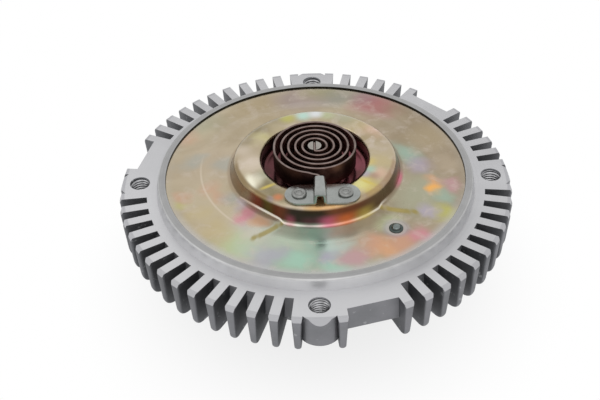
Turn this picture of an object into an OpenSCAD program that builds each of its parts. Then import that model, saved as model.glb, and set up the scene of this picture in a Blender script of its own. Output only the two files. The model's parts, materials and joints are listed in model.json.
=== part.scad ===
// Viscous fan clutch, in millimetres.
// A flanged input shaft drives a grooved rotor. A finned housing carries the fan and turns round the
// rotor on a ball bearing, closed by a pressed cover that is crimped under the housing's lip.
// A bimetal coil on the cover turns a valve arm, which lets silicone oil into the rotor's grooves.
// +Z runs along the turning axis towards the cover. The origin is on the flange's mounting face.

/* [Input shaft] */
// Diameter of the mounting flange
flange_d = 74; // [68:1:90]
// Thickness of the mounting flange
flange_t = 8; // [6:0.5:12]
// Bolt circle of the mounting flange
flange_pcd = 57; // [54:0.5:60]
// Number of bolt holes in the mounting flange
flange_holes = 4; // [3:1:6]
// Diameter of each bolt hole in the mounting flange
flange_hole_d = 6.6; // [5:0.1:8]
// Diameter of the pilot bore
pilot_d = 16; // [12:0.5:18]
// Depth of the pilot bore
pilot_depth = 10; // [6:0.5:13]
// Height of the shoulder that the bearing sits against, above the flange
neck_h = 13; // [10:0.25:18]
// Step from the shaft up to that shoulder
neck_step = 3; // [2:0.25:3.5]

/* [Bearing] */
// Bore of the bearing, which is the shaft's diameter
shaft_d = 20; // [18:0.5:22]
// Outer diameter of the bearing
bearing_d = 47; // [44:0.5:52]
// Width of the bearing
bearing_w = 14; // [13:0.5:18]
// Diameter of each ball
ball_d = 7.9; // [7:0.1:8.5]
// Number of balls
ball_count = 8; // [6:1:9]
// Depth of each raceway below its ring's land
race_depth = 1.2; // [0.8:0.1:1.5]
// Clearance of a ball in its raceway
race_gap = 0.06; // [0.03:0.01:0.1]
// Thickness of each bearing shield
shield_t = 0.8; // [0.5:0.1:1]
// Thickness of the ring that holds the bearing in the housing
snap_t = 1.75; // [1.5:0.05:2.5]
// Depth of that ring's groove
snap_depth = 1.5; // [1:0.1:2]

/* [Rotor and chamber] */
// Diameter of the rotor
rotor_d = 121.6; // [116:0.2:128]
// Thickness of the rotor's web
web_t = 3.4; // [2.5:0.1:5]
// Height of the ring-shaped lands that mesh between rotor and housing
land_h = 3.6; // [2.5:0.1:5]
// Thickness of each land
land_t = 1.5; // [1.2:0.1:1.8]
// Gap between meshing lands
land_gap = 0.5; // [0.4:0.05:0.7]
// Number of lands on each side
land_count = 5; // [3:1:6]
// Gap between the tips of the lands and the wall opposite
tip_gap = 0.6; // [0.4:0.05:1]
// Gap between the rotor's edge and the chamber wall
rotor_gap = 0.7; // [0.4:0.05:1]
// Thickness of the separator plate
separator_t = 1.2; // [0.8:0.1:2]
// Thickness of the pump wiper under the separator plate
wiper_t = 0.8; // [0.5:0.1:1.2]
// Gap between the wiper and the rotor
wiper_gap = 0.8; // [0.4:0.1:1.5]

/* [Housing] */
// Thickness of the housing's floor
floor_t = 3; // [2.5:0.25:4]
// Height of the shoulder in front of the bearing, up to the chamber floor
shoulder_h = 6; // [5:0.25:8]
// Wall of the bearing boss
boss_wall = 7.5; // [6:0.25:9]
// Width of the ledge under the separator plate
ledge_w = 2.3; // [1.8:0.1:3]
// Width of the cover's seat
seat_w = 2.6; // [2.4:0.1:4]
// Height of the cover's seat above the rim face
seat_rise = 2.5; // [1.5:0.1:4]
// Wall of the crimped lip at its foot
lip_wall = 2.3; // [1.8:0.1:3]
// How far the crimped lip reaches over the cover
lip_grip = 2; // [1.2:0.1:2.2]
// Thickness of the crimped lip over the cover
lip_t = 0.8; // [0.6:0.1:1.5]
// Width of the plain rim face between the lip and the fins
face_w = 4.3; // [3:0.1:6]
// Thickness of the rim behind the fins
rim_t = 10.7; // [8:0.1:13]

/* [Fins] */
// Number of fin places round the rim
fin_places = 60; // [48:12:72]
// Length of each fin beyond the rim
fin_len = 10.8; // [9:0.1:14]
// Height of each fin
fin_h = 19; // [15:0.25:24]
// Thickness of each fin at the rim face
fin_t = 4.1; // [3:0.1:4.5]
// Thickness of each fin at its lower edge
fin_tip_t = 2.6; // [2:0.1:3]
// How far each fin runs in under the floor, from the rim
fin_reach = 15; // [10:0.5:18]
// Height of the turned bevel at the fin tips
bevel_h = 2.4; // [1:0.1:4]
// Width of the turned bevel at the fin tips
bevel_w = 1; // [0.5:0.1:1.5]
// Radius of each fin's lower outer corner
fin_corner = 4; // [2:0.25:6]
// Distance from the rim to the three flat walls that replace pairs of fins
flat_wall = 5.5; // [4:0.1:8]
// Number of long ribs behind the floor
rib_count = 20; // [10:2:24]
// Thickness of each long rib
rib_t = 2.8; // [2:0.1:4]

/* [Fan bosses] */
// Bolt circle of the fan
fan_pcd = 152.8; // [151:0.2:156]
// Diameter of each threaded hole for the fan
fan_thread_d = 8; // [6:0.5:9]
// Diameter of each boss
fan_boss_d = 17.2; // [15:0.2:20]
// Height of each boss
fan_boss_h = 13.5; // [11:0.25:17]

/* [Cover] */
// Thickness of the pressed cover
cover_t = 1.8; // [1.4:0.1:2.2]
// Diameter of the raised ring at its foot
dome_d = 73.4; // [71:0.2:80]
// Height of the raised ring above the cover's edge
dome_h = 9.7; // [8:0.1:12]
// Diameter of the coil's well
well_d = 46.6; // [44:0.2:48]
// Depth of the coil's well
well_depth = 7.5; // [6:0.25:9]
// Radius of the step from the cover's edge up to the raised land
land_r = 50; // [47:0.5:54]
// Height of that step
step_h = 1.2; // [0.6:0.1:1.4]
// Depth of the pressed seat for the bracket
seat_drop = 0.8; // [0.4:0.1:1]
// Distance of the filler plug from the axis
plug_r = 50; // [46:0.5:56]
// Diameter of the filler plug's head
plug_d = 5.8; // [5:0.2:8]

/* [Valve] */
// Diameter of the control shaft
control_d = 6; // [5:0.25:7]
// Running clearance of the control shaft in its bush
running_fit = 0.05; // [0.02:0.01:0.1]
// Wall of the control shaft's bush
bush_wall = 2.5; // [2:0.25:3.5]
// Distance from the axis to the port that the valve arm covers
port_r = 28; // [24:0.5:32]
// Diameter of that port
port_d = 6; // [4:0.25:7]
// Thickness of the valve arm
arm_t = 1; // [0.6:0.1:1.4]
// Gap between the valve arm and the separator plate
arm_gap = 0.3; // [0.2:0.05:0.5]

/* [Bimetal coil] */
// Radius of the coil's outer turn
coil_r = 17.2; // [15:0.1:18]
// Distance between turns
coil_pitch = 3; // [2.4:0.1:3.6]
// Thickness of the strip
strip_t = 0.9; // [0.6:0.05:1.1]
// Width of the strip
strip_w = 9; // [7:0.25:10]
// Height of the coil's top edge above the raised ring
coil_rise = 4.4; // [3:0.1:6]
// Inside radius of the bend at the coil's outer end
tail_bend = 1.6; // [1.2:0.1:2.5]
// How far the coil's outer end runs past the line of the bracket's rivets
tail_past = 1.7; // [0:0.1:3]

/* [Bracket] */
// Thickness of the bracket
bracket_t = 1.2; // [0.8:0.1:1.5]
// Width of the bracket
bracket_w = 12; // [10:0.25:12.5]
// Distance from the bracket's fold to the rivet on the short side
short_ear = 8.5; // [7.5:0.25:10]
// Distance from the bracket's fold to the rivet on the long side
long_ear = 10.5; // [10:0.25:13]
// Inside width of the bracket's fold
fold_w = 2.4; // [2:0.1:3.5]
// Distance of the rivets from the axis plane
rivet_y = 27.4; // [26.5:0.1:28]
// Diameter of each rivet head
rivet_d = 6.2; // [5:0.2:7]

/* [Hidden] */
$fn = 96;

// Clearance between pieces that are pressed or clamped together
fit = 0.01;
// Extra length that lets a cut or a joined shape pass through a face
over = 1;
// Small break on turned edges
edge = 0.6;
// Points along each rounded corner
corner_steps = 6;

// Angles round the rim
boss_angles = [0, 90, 180, 270];
flat_angles = [-75, 45, 165];
fin_pitch = 360 / fin_places;

// Bearing and shaft, from the flange upwards
shaft_r = shaft_d / 2;
bearing_r = bearing_d / 2;
pitch_r = (shaft_r + bearing_r) / 2;
ball_r = ball_d / 2;
inner_land_r = pitch_r - ball_r + race_depth;
outer_land_r = pitch_r + ball_r - race_depth;
neck_r = shaft_r + neck_step;
bearing_z = flange_t + neck_h;
bearing_mid = bearing_z + bearing_w / 2;
bearing_top = bearing_z + bearing_w;
snap_land = 1.2;
boss_z = bearing_z - snap_t - 2 * fit - snap_land;
boss_r = bearing_r + boss_wall;
snap_groove_r = bearing_r + snap_depth;
snap_lap = 2.2;
snap_inner_r = bearing_r - snap_lap;
snap_eye_r = 2;
shield_gap = 0.3;
shield_inset = 0.1;

// Chamber, rotor and separator, from the bearing upwards
shoulder_w = 4.5;
shoulder_r = bearing_r - shoulder_w;
floor_z = bearing_top + shoulder_h;
floor_under = floor_z - floor_t;
web_z = floor_z + land_h + tip_gap;
rotor_top = web_z + web_t;
separator_z = rotor_top + wiper_gap + wiper_t;
separator_top = separator_z + separator_t;
pan_h = 4.3;
seat_z = separator_z + pan_h;
rim_z = seat_z - seat_rise;
cover_z = seat_z + cover_t;

// Chamber, rotor and rim, from the axis outwards
rotor_r = rotor_d / 2;
hub_step = 0.5;
hub_r = inner_land_r - hub_step;
land_pitch = 2 * (land_t + land_gap);
chamber_r = rotor_r + rotor_gap;
separator_r = chamber_r + ledge_w;
separator_gap = 0.1;
pocket_r = separator_r + separator_gap;
cover_r = pocket_r + seat_w;
lip_r = cover_r - lip_grip;
lip_foot_r = cover_r + fit + lip_wall;
rim_r = lip_foot_r + face_w;
tip_r = rim_r + fin_len;
fin_z = rim_z - fin_h;
fin_in_r = rim_r - fin_reach;
flat_r = rim_r + flat_wall;
flat_lift = -0.5;
knee_r = (chamber_r + rim_r) / 2;
lip_lean = 0.45 * lip_wall;

// Pump wiper, beside the hole where oil returns
return_inset = 5.5;
return_r = chamber_r - return_inset;
return_d = 3;
wiper_angle = 100;
wiper_w = 9;
wiper_l = 6;
wiper_rivet_r = 1;

// Seal groove under the cover's edge
seal_r = pocket_r + seat_w / 2;
seal_w = 1.4;
seal_depth = 1.2;

// Retaining ring at the rotor's front
ring_t = 1;
ring_groove = 0.8;
ring_w = 2;
ring_eye_r = 1.8;
ring_eye_x = 0.8;
shaft_tip = 0.3;
shaft_top = rotor_top + ring_t + shaft_tip;

// Cover
dome_r = dome_d / 2;
dome_lean = 1.6;
// Radii of the cover's pressed corners: steps and ring's edge, ring's foot, well's top and well's foot
press_r = 2;
foot_r = 1.6;
well_top_r = 2.2;
well_foot_r = 1.8;
dome_crown = 0.5;
well_r = well_d / 2;
dome_top = cover_z + dome_h;
well_floor = dome_top - well_depth;
seat_top = dome_top - seat_drop;
step_run = 1.4;
foot_run = 6;
foot_rise = 0.6;
panel_rise = 0.7;
panel_foot = 1.4;
well_lean = 0.4;
seat_from = -136;
panel_from = -112;
panel_to = -37;
plug_angle = -50.2;
plug_lap = 1;
plug_shank_r = plug_d / 2 - plug_lap;
plug_tail = 0.4;
plug_head_h = 1.6;

// Valve and bush
control_r = control_d / 2;
bush_bore_r = control_r + running_fit;
bush_r = bush_bore_r + bush_wall;
bush_flange_t = 1.5;
bush_flange_w = 2.5;
bush_tail = 1;
arm_z = separator_top + arm_gap;
arm_top = arm_z + arm_t;
tenon_step = 0.6;
tenon_r = control_r - tenon_step;
arm_root = 3;
arm_cover = 2.5;
collar_t = 1.2;
collar_w = 1.5;
coil_top = dome_top + coil_rise;
coil_bottom = coil_top - strip_w;
control_rise = 0.2;
control_top = coil_top + control_rise;
oring_r = 0.55;
oring_z = well_floor - cover_t / 2;
slot_gap = 0.1;

// Coil: half turns behind the axis wound about it, half turns in front about a point half a pitch beside it,
// a lead from the bracket and a small bend into the shaft's slot
half_pitch = coil_pitch / 2;
turn_gap = 0.15;
inner_turn_r = control_r + strip_t / 2 + turn_gap + half_pitch;
half_turns = 2 * floor((coil_r - inner_turn_r) / coil_pitch) + 1;
inner_end_r = coil_r - half_turns * half_pitch;
inner_bend = 0.8;
lead_drop = 1.3;
coil_front = coil_r + lead_drop;

// Bracket
fold_x = tail_bend;
fold_rise = 0.6;
fold_top = coil_top + fold_rise;
ear_r = bracket_w / 2;
tail_gap = 0.4;
tail_top = fold_top - bracket_t - tail_gap;
tail_len = rivet_y + tail_past - coil_front - tail_bend;
rivet_shank_r = 1.5;
rivet_head_h = 1.2;

// Points of a round corner of radius r at c, between the neighbours p and n
function unit(v) = v / norm(v);
function cross2(a, b) = a[0] * b[1] - a[1] * b[0];
function corner(p, c, n, r) =
    let (u = unit(p - c), v = unit(n - c))
    r <= 0 || abs(cross2(u, v)) < 0.001 ? [c] :
    let (
        half = acos(u * v) / 2,
        centre = c + unit(u + v) * r / sin(half),
        from = c + u * r / tan(half) - centre,
        sweep = (180 - 2 * half) * (cross2(u, v) > 0 ? -1 : 1),
        start = atan2(from[1], from[0])
    )
    [for (i = [0:corner_steps]) let (a = start + sweep * i / corner_steps) centre + r * [cos(a), sin(a)]];

// A closed outline from points [x, y, corner radius]
function xy(p) = [p[0], p[1]];
function outline(points) =
    let (n = len(points))
    [for (i = [0:n - 1])
        each corner(xy(points[(i + n - 1) % n]), xy(points[i]), xy(points[(i + 1) % n]), points[i][2])];

// The section of a bent sheet, from a path of [x, y, corner radius] along one face
// The metal lies on the path's left
function left(v) = [-v[1], v[0]];
function heading(points, i) = unit(xy(points[i + 1]) - xy(points[i]));
function offset_point(points, i, t) =
    let (
        n = len(points),
        a = left(heading(points, max(i - 1, 0))),
        b = left(heading(points, min(i, n - 2)))
    )
    xy(points[i]) + (a + b) / (1 + a * b) * t;
function offset_radius(points, i, t) =
    let (n = len(points))
    i == 0 || i == n - 1 || points[i][2] == 0 ? 0 :
    let (turn = cross2(heading(points, i - 1), heading(points, i)))
    max(points[i][2] - sign(turn) * t, 0.2);
function sheet(points, t) =
    let (
        n = len(points),
        back = [for (i = [n - 1:-1:0]) concat(offset_point(points, i, t), [offset_radius(points, i, t)])]
    )
    outline(concat(points, back));

// Input shaft: flange, shoulder and journal turned in one piece
module input_shaft() {
    ring_z = rotor_top;
    profile = outline([
        [pilot_d / 2, 0, 0],
        [flange_d / 2, 0, edge],
        [flange_d / 2, flange_t, edge],
        [neck_r, flange_t, 2],
        [neck_r, bearing_z, 0],
        [shaft_r, bearing_z, 0],
        [shaft_r, ring_z, 0],
        [shaft_r - ring_groove, ring_z, 0],
        [shaft_r - ring_groove, ring_z + ring_t, 0],
        [shaft_r, ring_z + ring_t, 0],
        [shaft_r, shaft_top, 0.2],
        [0, shaft_top, 0],
        [0, pilot_depth, 0],
        [pilot_d / 2, pilot_depth, 0]
    ]);
    color("dimgray")
        difference() {
            rotate_extrude()
                polygon(profile);
            for (i = [0:flange_holes - 1])
                rotate([0, 0, 45 + i * 360 / flange_holes])
                    translate([flange_pcd / 2, 0, -over])
                        cylinder(d = flange_hole_d, h = flange_t + 2 * over);
        }
}

// A bearing ring between two radii, with its raceway
module bearing_ring(from_r, to_r) {
    rotate_extrude()
        difference() {
            translate([from_r, bearing_z])
                square([to_r - from_r, bearing_w]);
            translate([pitch_r, bearing_mid])
                circle(r = ball_r + race_gap);
        }
}

module bearing_inner_ring() {
    color("silver")
        bearing_ring(shaft_r + fit, inner_land_r);
}

module bearing_outer_ring() {
    color("silver")
        bearing_ring(outer_land_r, bearing_r - fit);
}

module at_balls() {
    for (i = [0:ball_count - 1])
        rotate([0, 0, i * 360 / ball_count])
            translate([pitch_r, 0, bearing_mid])
                children();
}

module bearing_balls() {
    color("gainsboro")
        at_balls()
            sphere(r = ball_r);
}

// Crown cage: a ring beside the balls, with an open pocket for each
module bearing_cage() {
    web = 1.2;
    pocket_gap = 0.15;
    depth = 1;
    side_gap = 1.6;
    cage_half = (outer_land_r - inner_land_r) / 2 - side_gap;
    color("tan")
        difference() {
            translate([0, 0, bearing_mid - depth])
                rotate_extrude()
                    translate([pitch_r - cage_half, 0])
                        square([2 * cage_half, depth + ball_r + pocket_gap + web]);
            at_balls()
                sphere(r = ball_r + pocket_gap);
        }
}

module bearing_shield(z) {
    translate([0, 0, z])
        rotate_extrude()
            translate([inner_land_r + shield_gap, 0])
                square([outer_land_r - fit - inner_land_r - shield_gap, shield_t]);
}

module bearing_front_shield() {
    color("darkgray")
        bearing_shield(bearing_top - shield_t - shield_inset);
}

module bearing_rear_shield() {
    color("darkgray")
        bearing_shield(bearing_z + shield_inset);
}

// A split ring with a plier eye at each end, the eyes standing at their own distance from the axis
module split_ring(inner, outer, t, eye_r, eye_x) {
    gap = 5;
    eye_hole_r = 0.8;
    eye_lap = 0.4;
    eye_y = gap / 2 + eye_r - eye_lap;
    difference() {
        union() {
            difference() {
                cylinder(r = outer, h = t);
                translate([0, 0, -over])
                    cylinder(r = inner, h = t + 2 * over);
            }
            for (side = [-1, 1])
                translate([eye_x, side * eye_y, 0])
                    cylinder(r = eye_r, h = t);
        }
        translate([0, -gap / 2, -over])
            cube([outer + 2 * eye_r, gap, t + 2 * over]);
        for (side = [-1, 1])
            translate([eye_x, side * eye_y, -over])
                cylinder(r = eye_hole_r, h = t + 2 * over);
    }
}

module bearing_snap_ring() {
    color("slategray")
        translate([0, 0, bearing_z - snap_t - fit])
            split_ring(snap_inner_r, snap_groove_r - fit, snap_t, snap_eye_r, snap_inner_r);
}

module rotor_retaining_ring() {
    inner = shaft_r - ring_groove + fit;
    color("slategray")
        translate([0, 0, rotor_top + fit])
            split_ring(inner, shaft_r + ring_w, ring_t - 2 * fit, ring_eye_r, shaft_r + ring_eye_x);
}

// Ring-shaped lands, the outermost ending at the given radius
module lands(outer, z) {
    for (i = [0:land_count - 1])
        translate([0, 0, z])
            rotate_extrude()
                translate([outer - land_t - i * land_pitch, 0])
                    square([land_t, land_h + over]);
}

// Rotor: a disc with ring-shaped lands below and pressure holes near its hub
module rotor() {
    passages = 6;
    passage_r = 26;
    passage_d = 6;
    profile = outline([
        [shaft_r + fit, bearing_top + fit, 0],
        [hub_r, bearing_top + fit, 0],
        [hub_r, web_z, 2],
        [rotor_r, web_z, 0],
        [rotor_r, rotor_top, edge],
        [shaft_r + fit, rotor_top, 0]
    ]);
    color("lightsteelblue")
        difference() {
            union() {
                rotate_extrude()
                    polygon(profile);
                lands(rotor_r, web_z - land_h);
            }
            for (i = [0:passages - 1])
                rotate([0, 0, i * 360 / passages])
                    translate([passage_r, 0, web_z - over])
                        cylinder(d = passage_d, h = web_t + 2 * over);
        }
}

// Section of the housing without its fins: bearing boss, floor, chamber wall and rim
function housing_section() = outline([
    [bearing_r, boss_z, 0],
    [boss_r, boss_z, edge],
    [boss_r, floor_under, 3],
    [knee_r, floor_under, 3],
    [rim_r, rim_z - rim_t, 0],
    [rim_r, rim_z, 0],
    [pocket_r, rim_z, 0],
    [pocket_r, separator_z, 0],
    [chamber_r, separator_z, 0],
    [chamber_r, floor_z, 0],
    [shoulder_r, floor_z, 0],
    [shoulder_r, bearing_top, 0],
    [bearing_r, bearing_top, 0],
    [bearing_r, bearing_z, 0],
    [snap_groove_r, bearing_z, 0],
    [snap_groove_r, bearing_z - snap_t - 2 * fit, 0],
    [bearing_r, bearing_z - snap_t - 2 * fit, 0]
]);

// Turned and cast limits of everything that stands out of the rim
function rim_limits() =
    let (inside = (lip_foot_r + rim_r) / 2)
    outline([
        [fin_in_r, fin_z, 2],
        [tip_r, fin_z, fin_corner],
        [tip_r + bevel_w, rim_z - bevel_h, 0],
        [tip_r, rim_z, 0],
        [inside, rim_z, 0],
        [inside, floor_under + floor_t / 3, 0],
        [fin_in_r, floor_under + floor_t / 3, 0]
    ]);

// Limits of the bosses, where the fins' turned bevel is carried on outwards
function boss_limits() =
    let (inside = (lip_foot_r + rim_r) / 2)
    [
        [fin_in_r, rim_z - fan_boss_h - over],
        [tip_r + 2 * bevel_w, rim_z - fan_boss_h - over],
        [tip_r + 2 * bevel_w, rim_z - 2 * bevel_h],
        [tip_r, rim_z],
        [inside, rim_z],
        [inside, floor_under + floor_t / 3],
        [fin_in_r, floor_under + floor_t / 3]
    ];

// True where a fin would stand within the given part of a pitch from one of the listed angles
function near(a, angles, share) =
    len([for (f = angles) if (abs((a - f + 540) % 360 - 180) < share * fin_pitch) f]) > 0;
function bare(a) = near(a, flat_angles, 0.75) || near(a, boss_angles, 0.25);

// A fin's section, drafted and with a round lower edge
module fin_section() {
    draft = (fin_t - fin_tip_t) / 2 / fin_h;
    round_r = fin_tip_t / 2;
    low = fin_z + round_r;
    top = rim_z + over;
    polygon([
        [-round_r, low],
        [round_r, low],
        [round_r + draft * (top - fin_z), top],
        [-round_r - draft * (top - fin_z), top]
    ]);
    translate([0, low])
        circle(r = round_r);
}

module fins() {
    for (i = [0:fin_places - 1])
        if (!bare(i * fin_pitch))
            rotate([0, 0, i * fin_pitch])
                translate([fin_in_r - over, 0, 0])
                    rotate([90, 0, 90])
                        linear_extrude(tip_r + bevel_w - fin_in_r + 2 * over)
                            fin_section();
}

module fan_bosses() {
    for (a = boss_angles)
        rotate([0, 0, a])
            translate([fan_pcd / 2, 0, rim_z - fan_boss_h])
                cylinder(d = fan_boss_d, h = fan_boss_h + over);
}

module flat_walls() {
    half = tip_r * sin(1.5 * fin_pitch) - fin_tip_t / 2;
    for (a = flat_angles)
        rotate([0, 0, a])
            translate([knee_r, -half, rim_z - rim_t + flat_lift])
                cube([flat_r - knee_r, 2 * half, rim_t - flat_lift + over]);
}

// Long ribs from the bearing boss out to the fins, deepest at the boss
module ribs() {
    rib_depth = 10;
    rib_lap = 4;
    rib_rise = 0.5;
    in_r = boss_r - boss_wall / 3;
    out_r = fin_in_r + rib_lap;
    top = floor_under + floor_t / 3;
    for (i = [0:rib_count - 1])
        rotate([0, 0, i * 360 / rib_count])
            rotate([90, 0, 0])
                linear_extrude(rib_t, center = true)
                    polygon([
                        [in_r, floor_under - rib_depth],
                        [out_r, fin_z + rib_rise],
                        [out_r, top],
                        [in_r, top]
                    ]);
}

module fan_holes() {
    mouth = 0.35;
    for (a = boss_angles)
        rotate([0, 0, a])
            translate([fan_pcd / 2, 0, 0]) {
                translate([0, 0, rim_z - fan_boss_h - over])
                    cylinder(d = fan_thread_d, h = fan_boss_h + 2 * over);
                translate([0, 0, rim_z - mouth])
                    cylinder(d1 = fan_thread_d, d2 = fan_thread_d + 4 * mouth, h = 2 * mouth);
            }
}

// Housing: one aluminium casting with a turned rim
module housing() {
    color("lightgray")
        difference() {
            union() {
                rotate_extrude()
                    polygon(housing_section());
                lands(rotor_r - land_t - land_gap, floor_z - over);
                intersection() {
                    rotate_extrude()
                        polygon(rim_limits());
                    union() {
                        fins();
                        flat_walls();
                    }
                }
                intersection() {
                    rotate_extrude()
                        polygon(boss_limits());
                    fan_bosses();
                }
                ribs();
            }
            fan_holes();
        }
}

// Lip: the collar on the rim face that the fan slips over, with the cover's seat, rolled over the cover
module housing_lip() {
    section = outline([
        [pocket_r, rim_z + fit, 0],
        [lip_foot_r, rim_z + fit, 0],
        [lip_foot_r - lip_lean, cover_z + lip_t, 1.2],
        [lip_r, cover_z + lip_t, 0.3],
        [lip_r, cover_z + fit, 0],
        [cover_r + fit, cover_z + fit, 0],
        [cover_r + fit, seat_z, 0],
        [seal_r + seal_w / 2, seat_z, 0],
        [seal_r + seal_w / 2, seat_z - seal_depth, 0],
        [seal_r - seal_w / 2, seat_z - seal_depth, 0],
        [seal_r - seal_w / 2, seat_z, 0],
        [pocket_r, seat_z, 0]
    ]);
    color("lightgray")
        rotate_extrude()
            polygon(section);
}

module cover_seal() {
    ring_r = seal_depth / 2 - fit;
    color("black")
        translate([0, 0, seat_z - seal_depth / 2])
            rotate_extrude()
                translate([seal_r, 0])
                    circle(r = ring_r);
}

module at_wiper_rivets() {
    rotate([0, 0, wiper_angle])
        for (side = [-1, 1])
            translate([return_r, side * wiper_w / 4, 0])
                children();
}

// Separator: a pressed pan held between the housing's ledge and the cover
module separator_plate() {
    return_ahead = 9;
    section = sheet([
        [separator_r, seat_z - fit, 0],
        [separator_r, separator_z + fit, 0.8],
        [0, separator_z + fit, 0]
    ], -separator_t);
    color("khaki")
        difference() {
            rotate_extrude()
                polygon(section);
            translate([0, port_r, separator_z - over])
                cylinder(d = port_d, h = separator_t + 2 * over);
            rotate([0, 0, wiper_angle - return_ahead])
                translate([return_r, 0, separator_z - over])
                    cylinder(d = return_d, h = separator_t + 2 * over);
            at_wiper_rivets()
                translate([0, 0, separator_z - over])
                    cylinder(r = wiper_rivet_r + fit, h = separator_t + 2 * over);
        }
}

module wiper() {
    color("gray")
        difference() {
            rotate([0, 0, wiper_angle])
                translate([return_r - wiper_l / 2, -wiper_w / 2, separator_z - wiper_t])
                    cube([wiper_l, wiper_w, wiper_t]);
            at_wiper_rivets()
                translate([0, 0, separator_z - wiper_t - over])
                    cylinder(r = wiper_rivet_r + fit, h = wiper_t + 2 * over);
        }
}

module wiper_rivets() {
    head_h = 0.6;
    color("silver")
        at_wiper_rivets() {
            translate([0, 0, separator_z - wiper_t])
                cylinder(r = wiper_rivet_r, h = wiper_t + separator_t + head_h);
            translate([0, 0, separator_top + 2 * fit])
                cylinder(r = 1.8 * wiper_rivet_r, h = head_h);
        }
}

// Section of the cover, from its edge in over the raised ring and down the well to the bush
function cover_section() = sheet([
    [cover_r, cover_z, 0],
    [land_r + step_run, cover_z, press_r],
    [land_r - step_run, cover_z + step_h, press_r],
    [dome_r, cover_z + step_h + foot_rise, foot_r],
    [dome_r - dome_lean, dome_top - dome_crown, press_r],
    [well_r, dome_top, well_top_r],
    [well_r - well_lean, well_floor, well_foot_r],
    [bush_r + fit, well_floor, 0]
], cover_t);

// The flat panel pressed into the land in front: its face, from the step in to the ring's foot
function panel_face() = [
    [land_r + 2 * step_run, cover_z],
    [dome_r + foot_run, cover_z],
    [dome_r + panel_foot, cover_z + panel_rise]
];

// The band between two heights above and below a line of points
function lifted(points, dz) = [for (p = points) p + [0, dz]];
function reversed(points) = [for (i = [len(points) - 1:-1:0]) points[i]];
function band(points, low, high) = concat(lifted(points, low), reversed(lifted(points, high)));

// The flat seat pressed into the raised ring for the bracket, and the sheet behind it
function seat_face() = [[dome_r, seat_top], [well_r - well_lean, seat_top]];
function seat_back() = [[dome_r - dome_lean - cover_t / 2, seat_top], [well_r + cover_t / 2, seat_top]];

module sector(from, to) {
    rotate([0, 0, from])
        rotate_extrude(angle = to - from)
            children();
}

module pressed_cover() {
    inside = 0.05 * cover_t;
    difference() {
        rotate_extrude()
            polygon(cover_section());
        sector(panel_from, panel_to)
            polygon(band(panel_face(), 0, step_h + foot_rise + over));
        sector(seat_from, panel_to)
            polygon(band(seat_face(), 0, seat_drop + over));
    }
    sector(panel_from, panel_to)
        polygon(band(panel_face(), inside - cover_t, -inside));
    sector(seat_from, panel_to)
        polygon(band(seat_back(), -cover_t, -inside));
}

module at_plug() {
    rotate([0, 0, plug_angle])
        translate([plug_r, 0, 0])
            children();
}

module at_bracket_rivets() {
    for (x = [-short_ear, long_ear])
        translate([fold_x + x, -rivet_y, 0])
            children();
}

module cover_plate() {
    color("palegoldenrod")
        difference() {
            pressed_cover();
            at_plug()
                translate([0, 0, cover_z - cover_t - over])
                    cylinder(r = plug_shank_r + fit, h = cover_t + 3 * over);
        }
}

module shaft_bush() {
    section = outline([
        [bush_bore_r, well_floor - cover_t - bush_tail, 0],
        [bush_r, well_floor - cover_t - bush_tail, 0.3],
        [bush_r, well_floor + fit, 0],
        [bush_r + bush_flange_w, well_floor + fit, 0],
        [bush_r + bush_flange_w, well_floor + bush_flange_t, 0.4],
        [bush_bore_r, well_floor + bush_flange_t, 0]
    ]);
    color("darkgoldenrod")
        rotate_extrude()
            polygon(section);
}

module control_shaft_seal() {
    color("black")
        translate([0, 0, oring_z])
            rotate_extrude()
                translate([control_r - oring_r + running_fit / 2, 0])
                    circle(r = oring_r);
}

// Control shaft: a tenon for the valve arm below, a slot for the coil's inner end above
module control_shaft() {
    groove_r = control_r - 2 * oring_r;
    groove_half = oring_r + 0.1;
    slot_w = strip_t + 2 * slot_gap;
    profile = outline([
        [0, arm_z, 0],
        [tenon_r, arm_z, 0],
        [tenon_r, arm_top + fit, 0],
        [control_r + collar_w, arm_top + fit, 0],
        [control_r + collar_w, arm_top + collar_t, 0],
        [control_r, arm_top + collar_t, 0],
        [control_r, oring_z - groove_half, 0],
        [groove_r, oring_z - groove_half, 0],
        [groove_r, oring_z + groove_half, 0],
        [control_r, oring_z + groove_half, 0],
        [control_r, control_top, 0.5],
        [0, control_top, 0]
    ]);
    color("gainsboro")
        difference() {
            rotate_extrude()
                polygon(profile);
            translate([-slot_w / 2, -control_r - over, coil_bottom - slot_gap])
                cube([slot_w, 2 * control_r + 2 * over, strip_w + over]);
        }
}

// Valve arm: a flat blade from the control shaft out over the port
module valve_arm() {
    root_r = control_r + arm_root;
    blade_r = port_d / 2 + arm_cover;
    color("silver")
        translate([0, 0, arm_z])
            difference() {
                linear_extrude(arm_t) {
                    circle(r = root_r);
                    translate([0, port_r])
                        circle(r = blade_r);
                    polygon([[-root_r, 0], [root_r, 0], [blade_r, port_r], [-blade_r, port_r]]);
                }
                translate([0, 0, -over])
                    cylinder(r = tenon_r + fit, h = arm_t + 2 * over);
            }
}

// An arc of the coil's strip about a point beside the axis
module strip_arc(x, y, radius, from, sweep) {
    translate([x, y, coil_bottom])
        rotate([0, 0, from])
            rotate_extrude(angle = sweep)
                translate([radius - strip_t / 2, 0])
                    square([strip_t, strip_w]);
}

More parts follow.
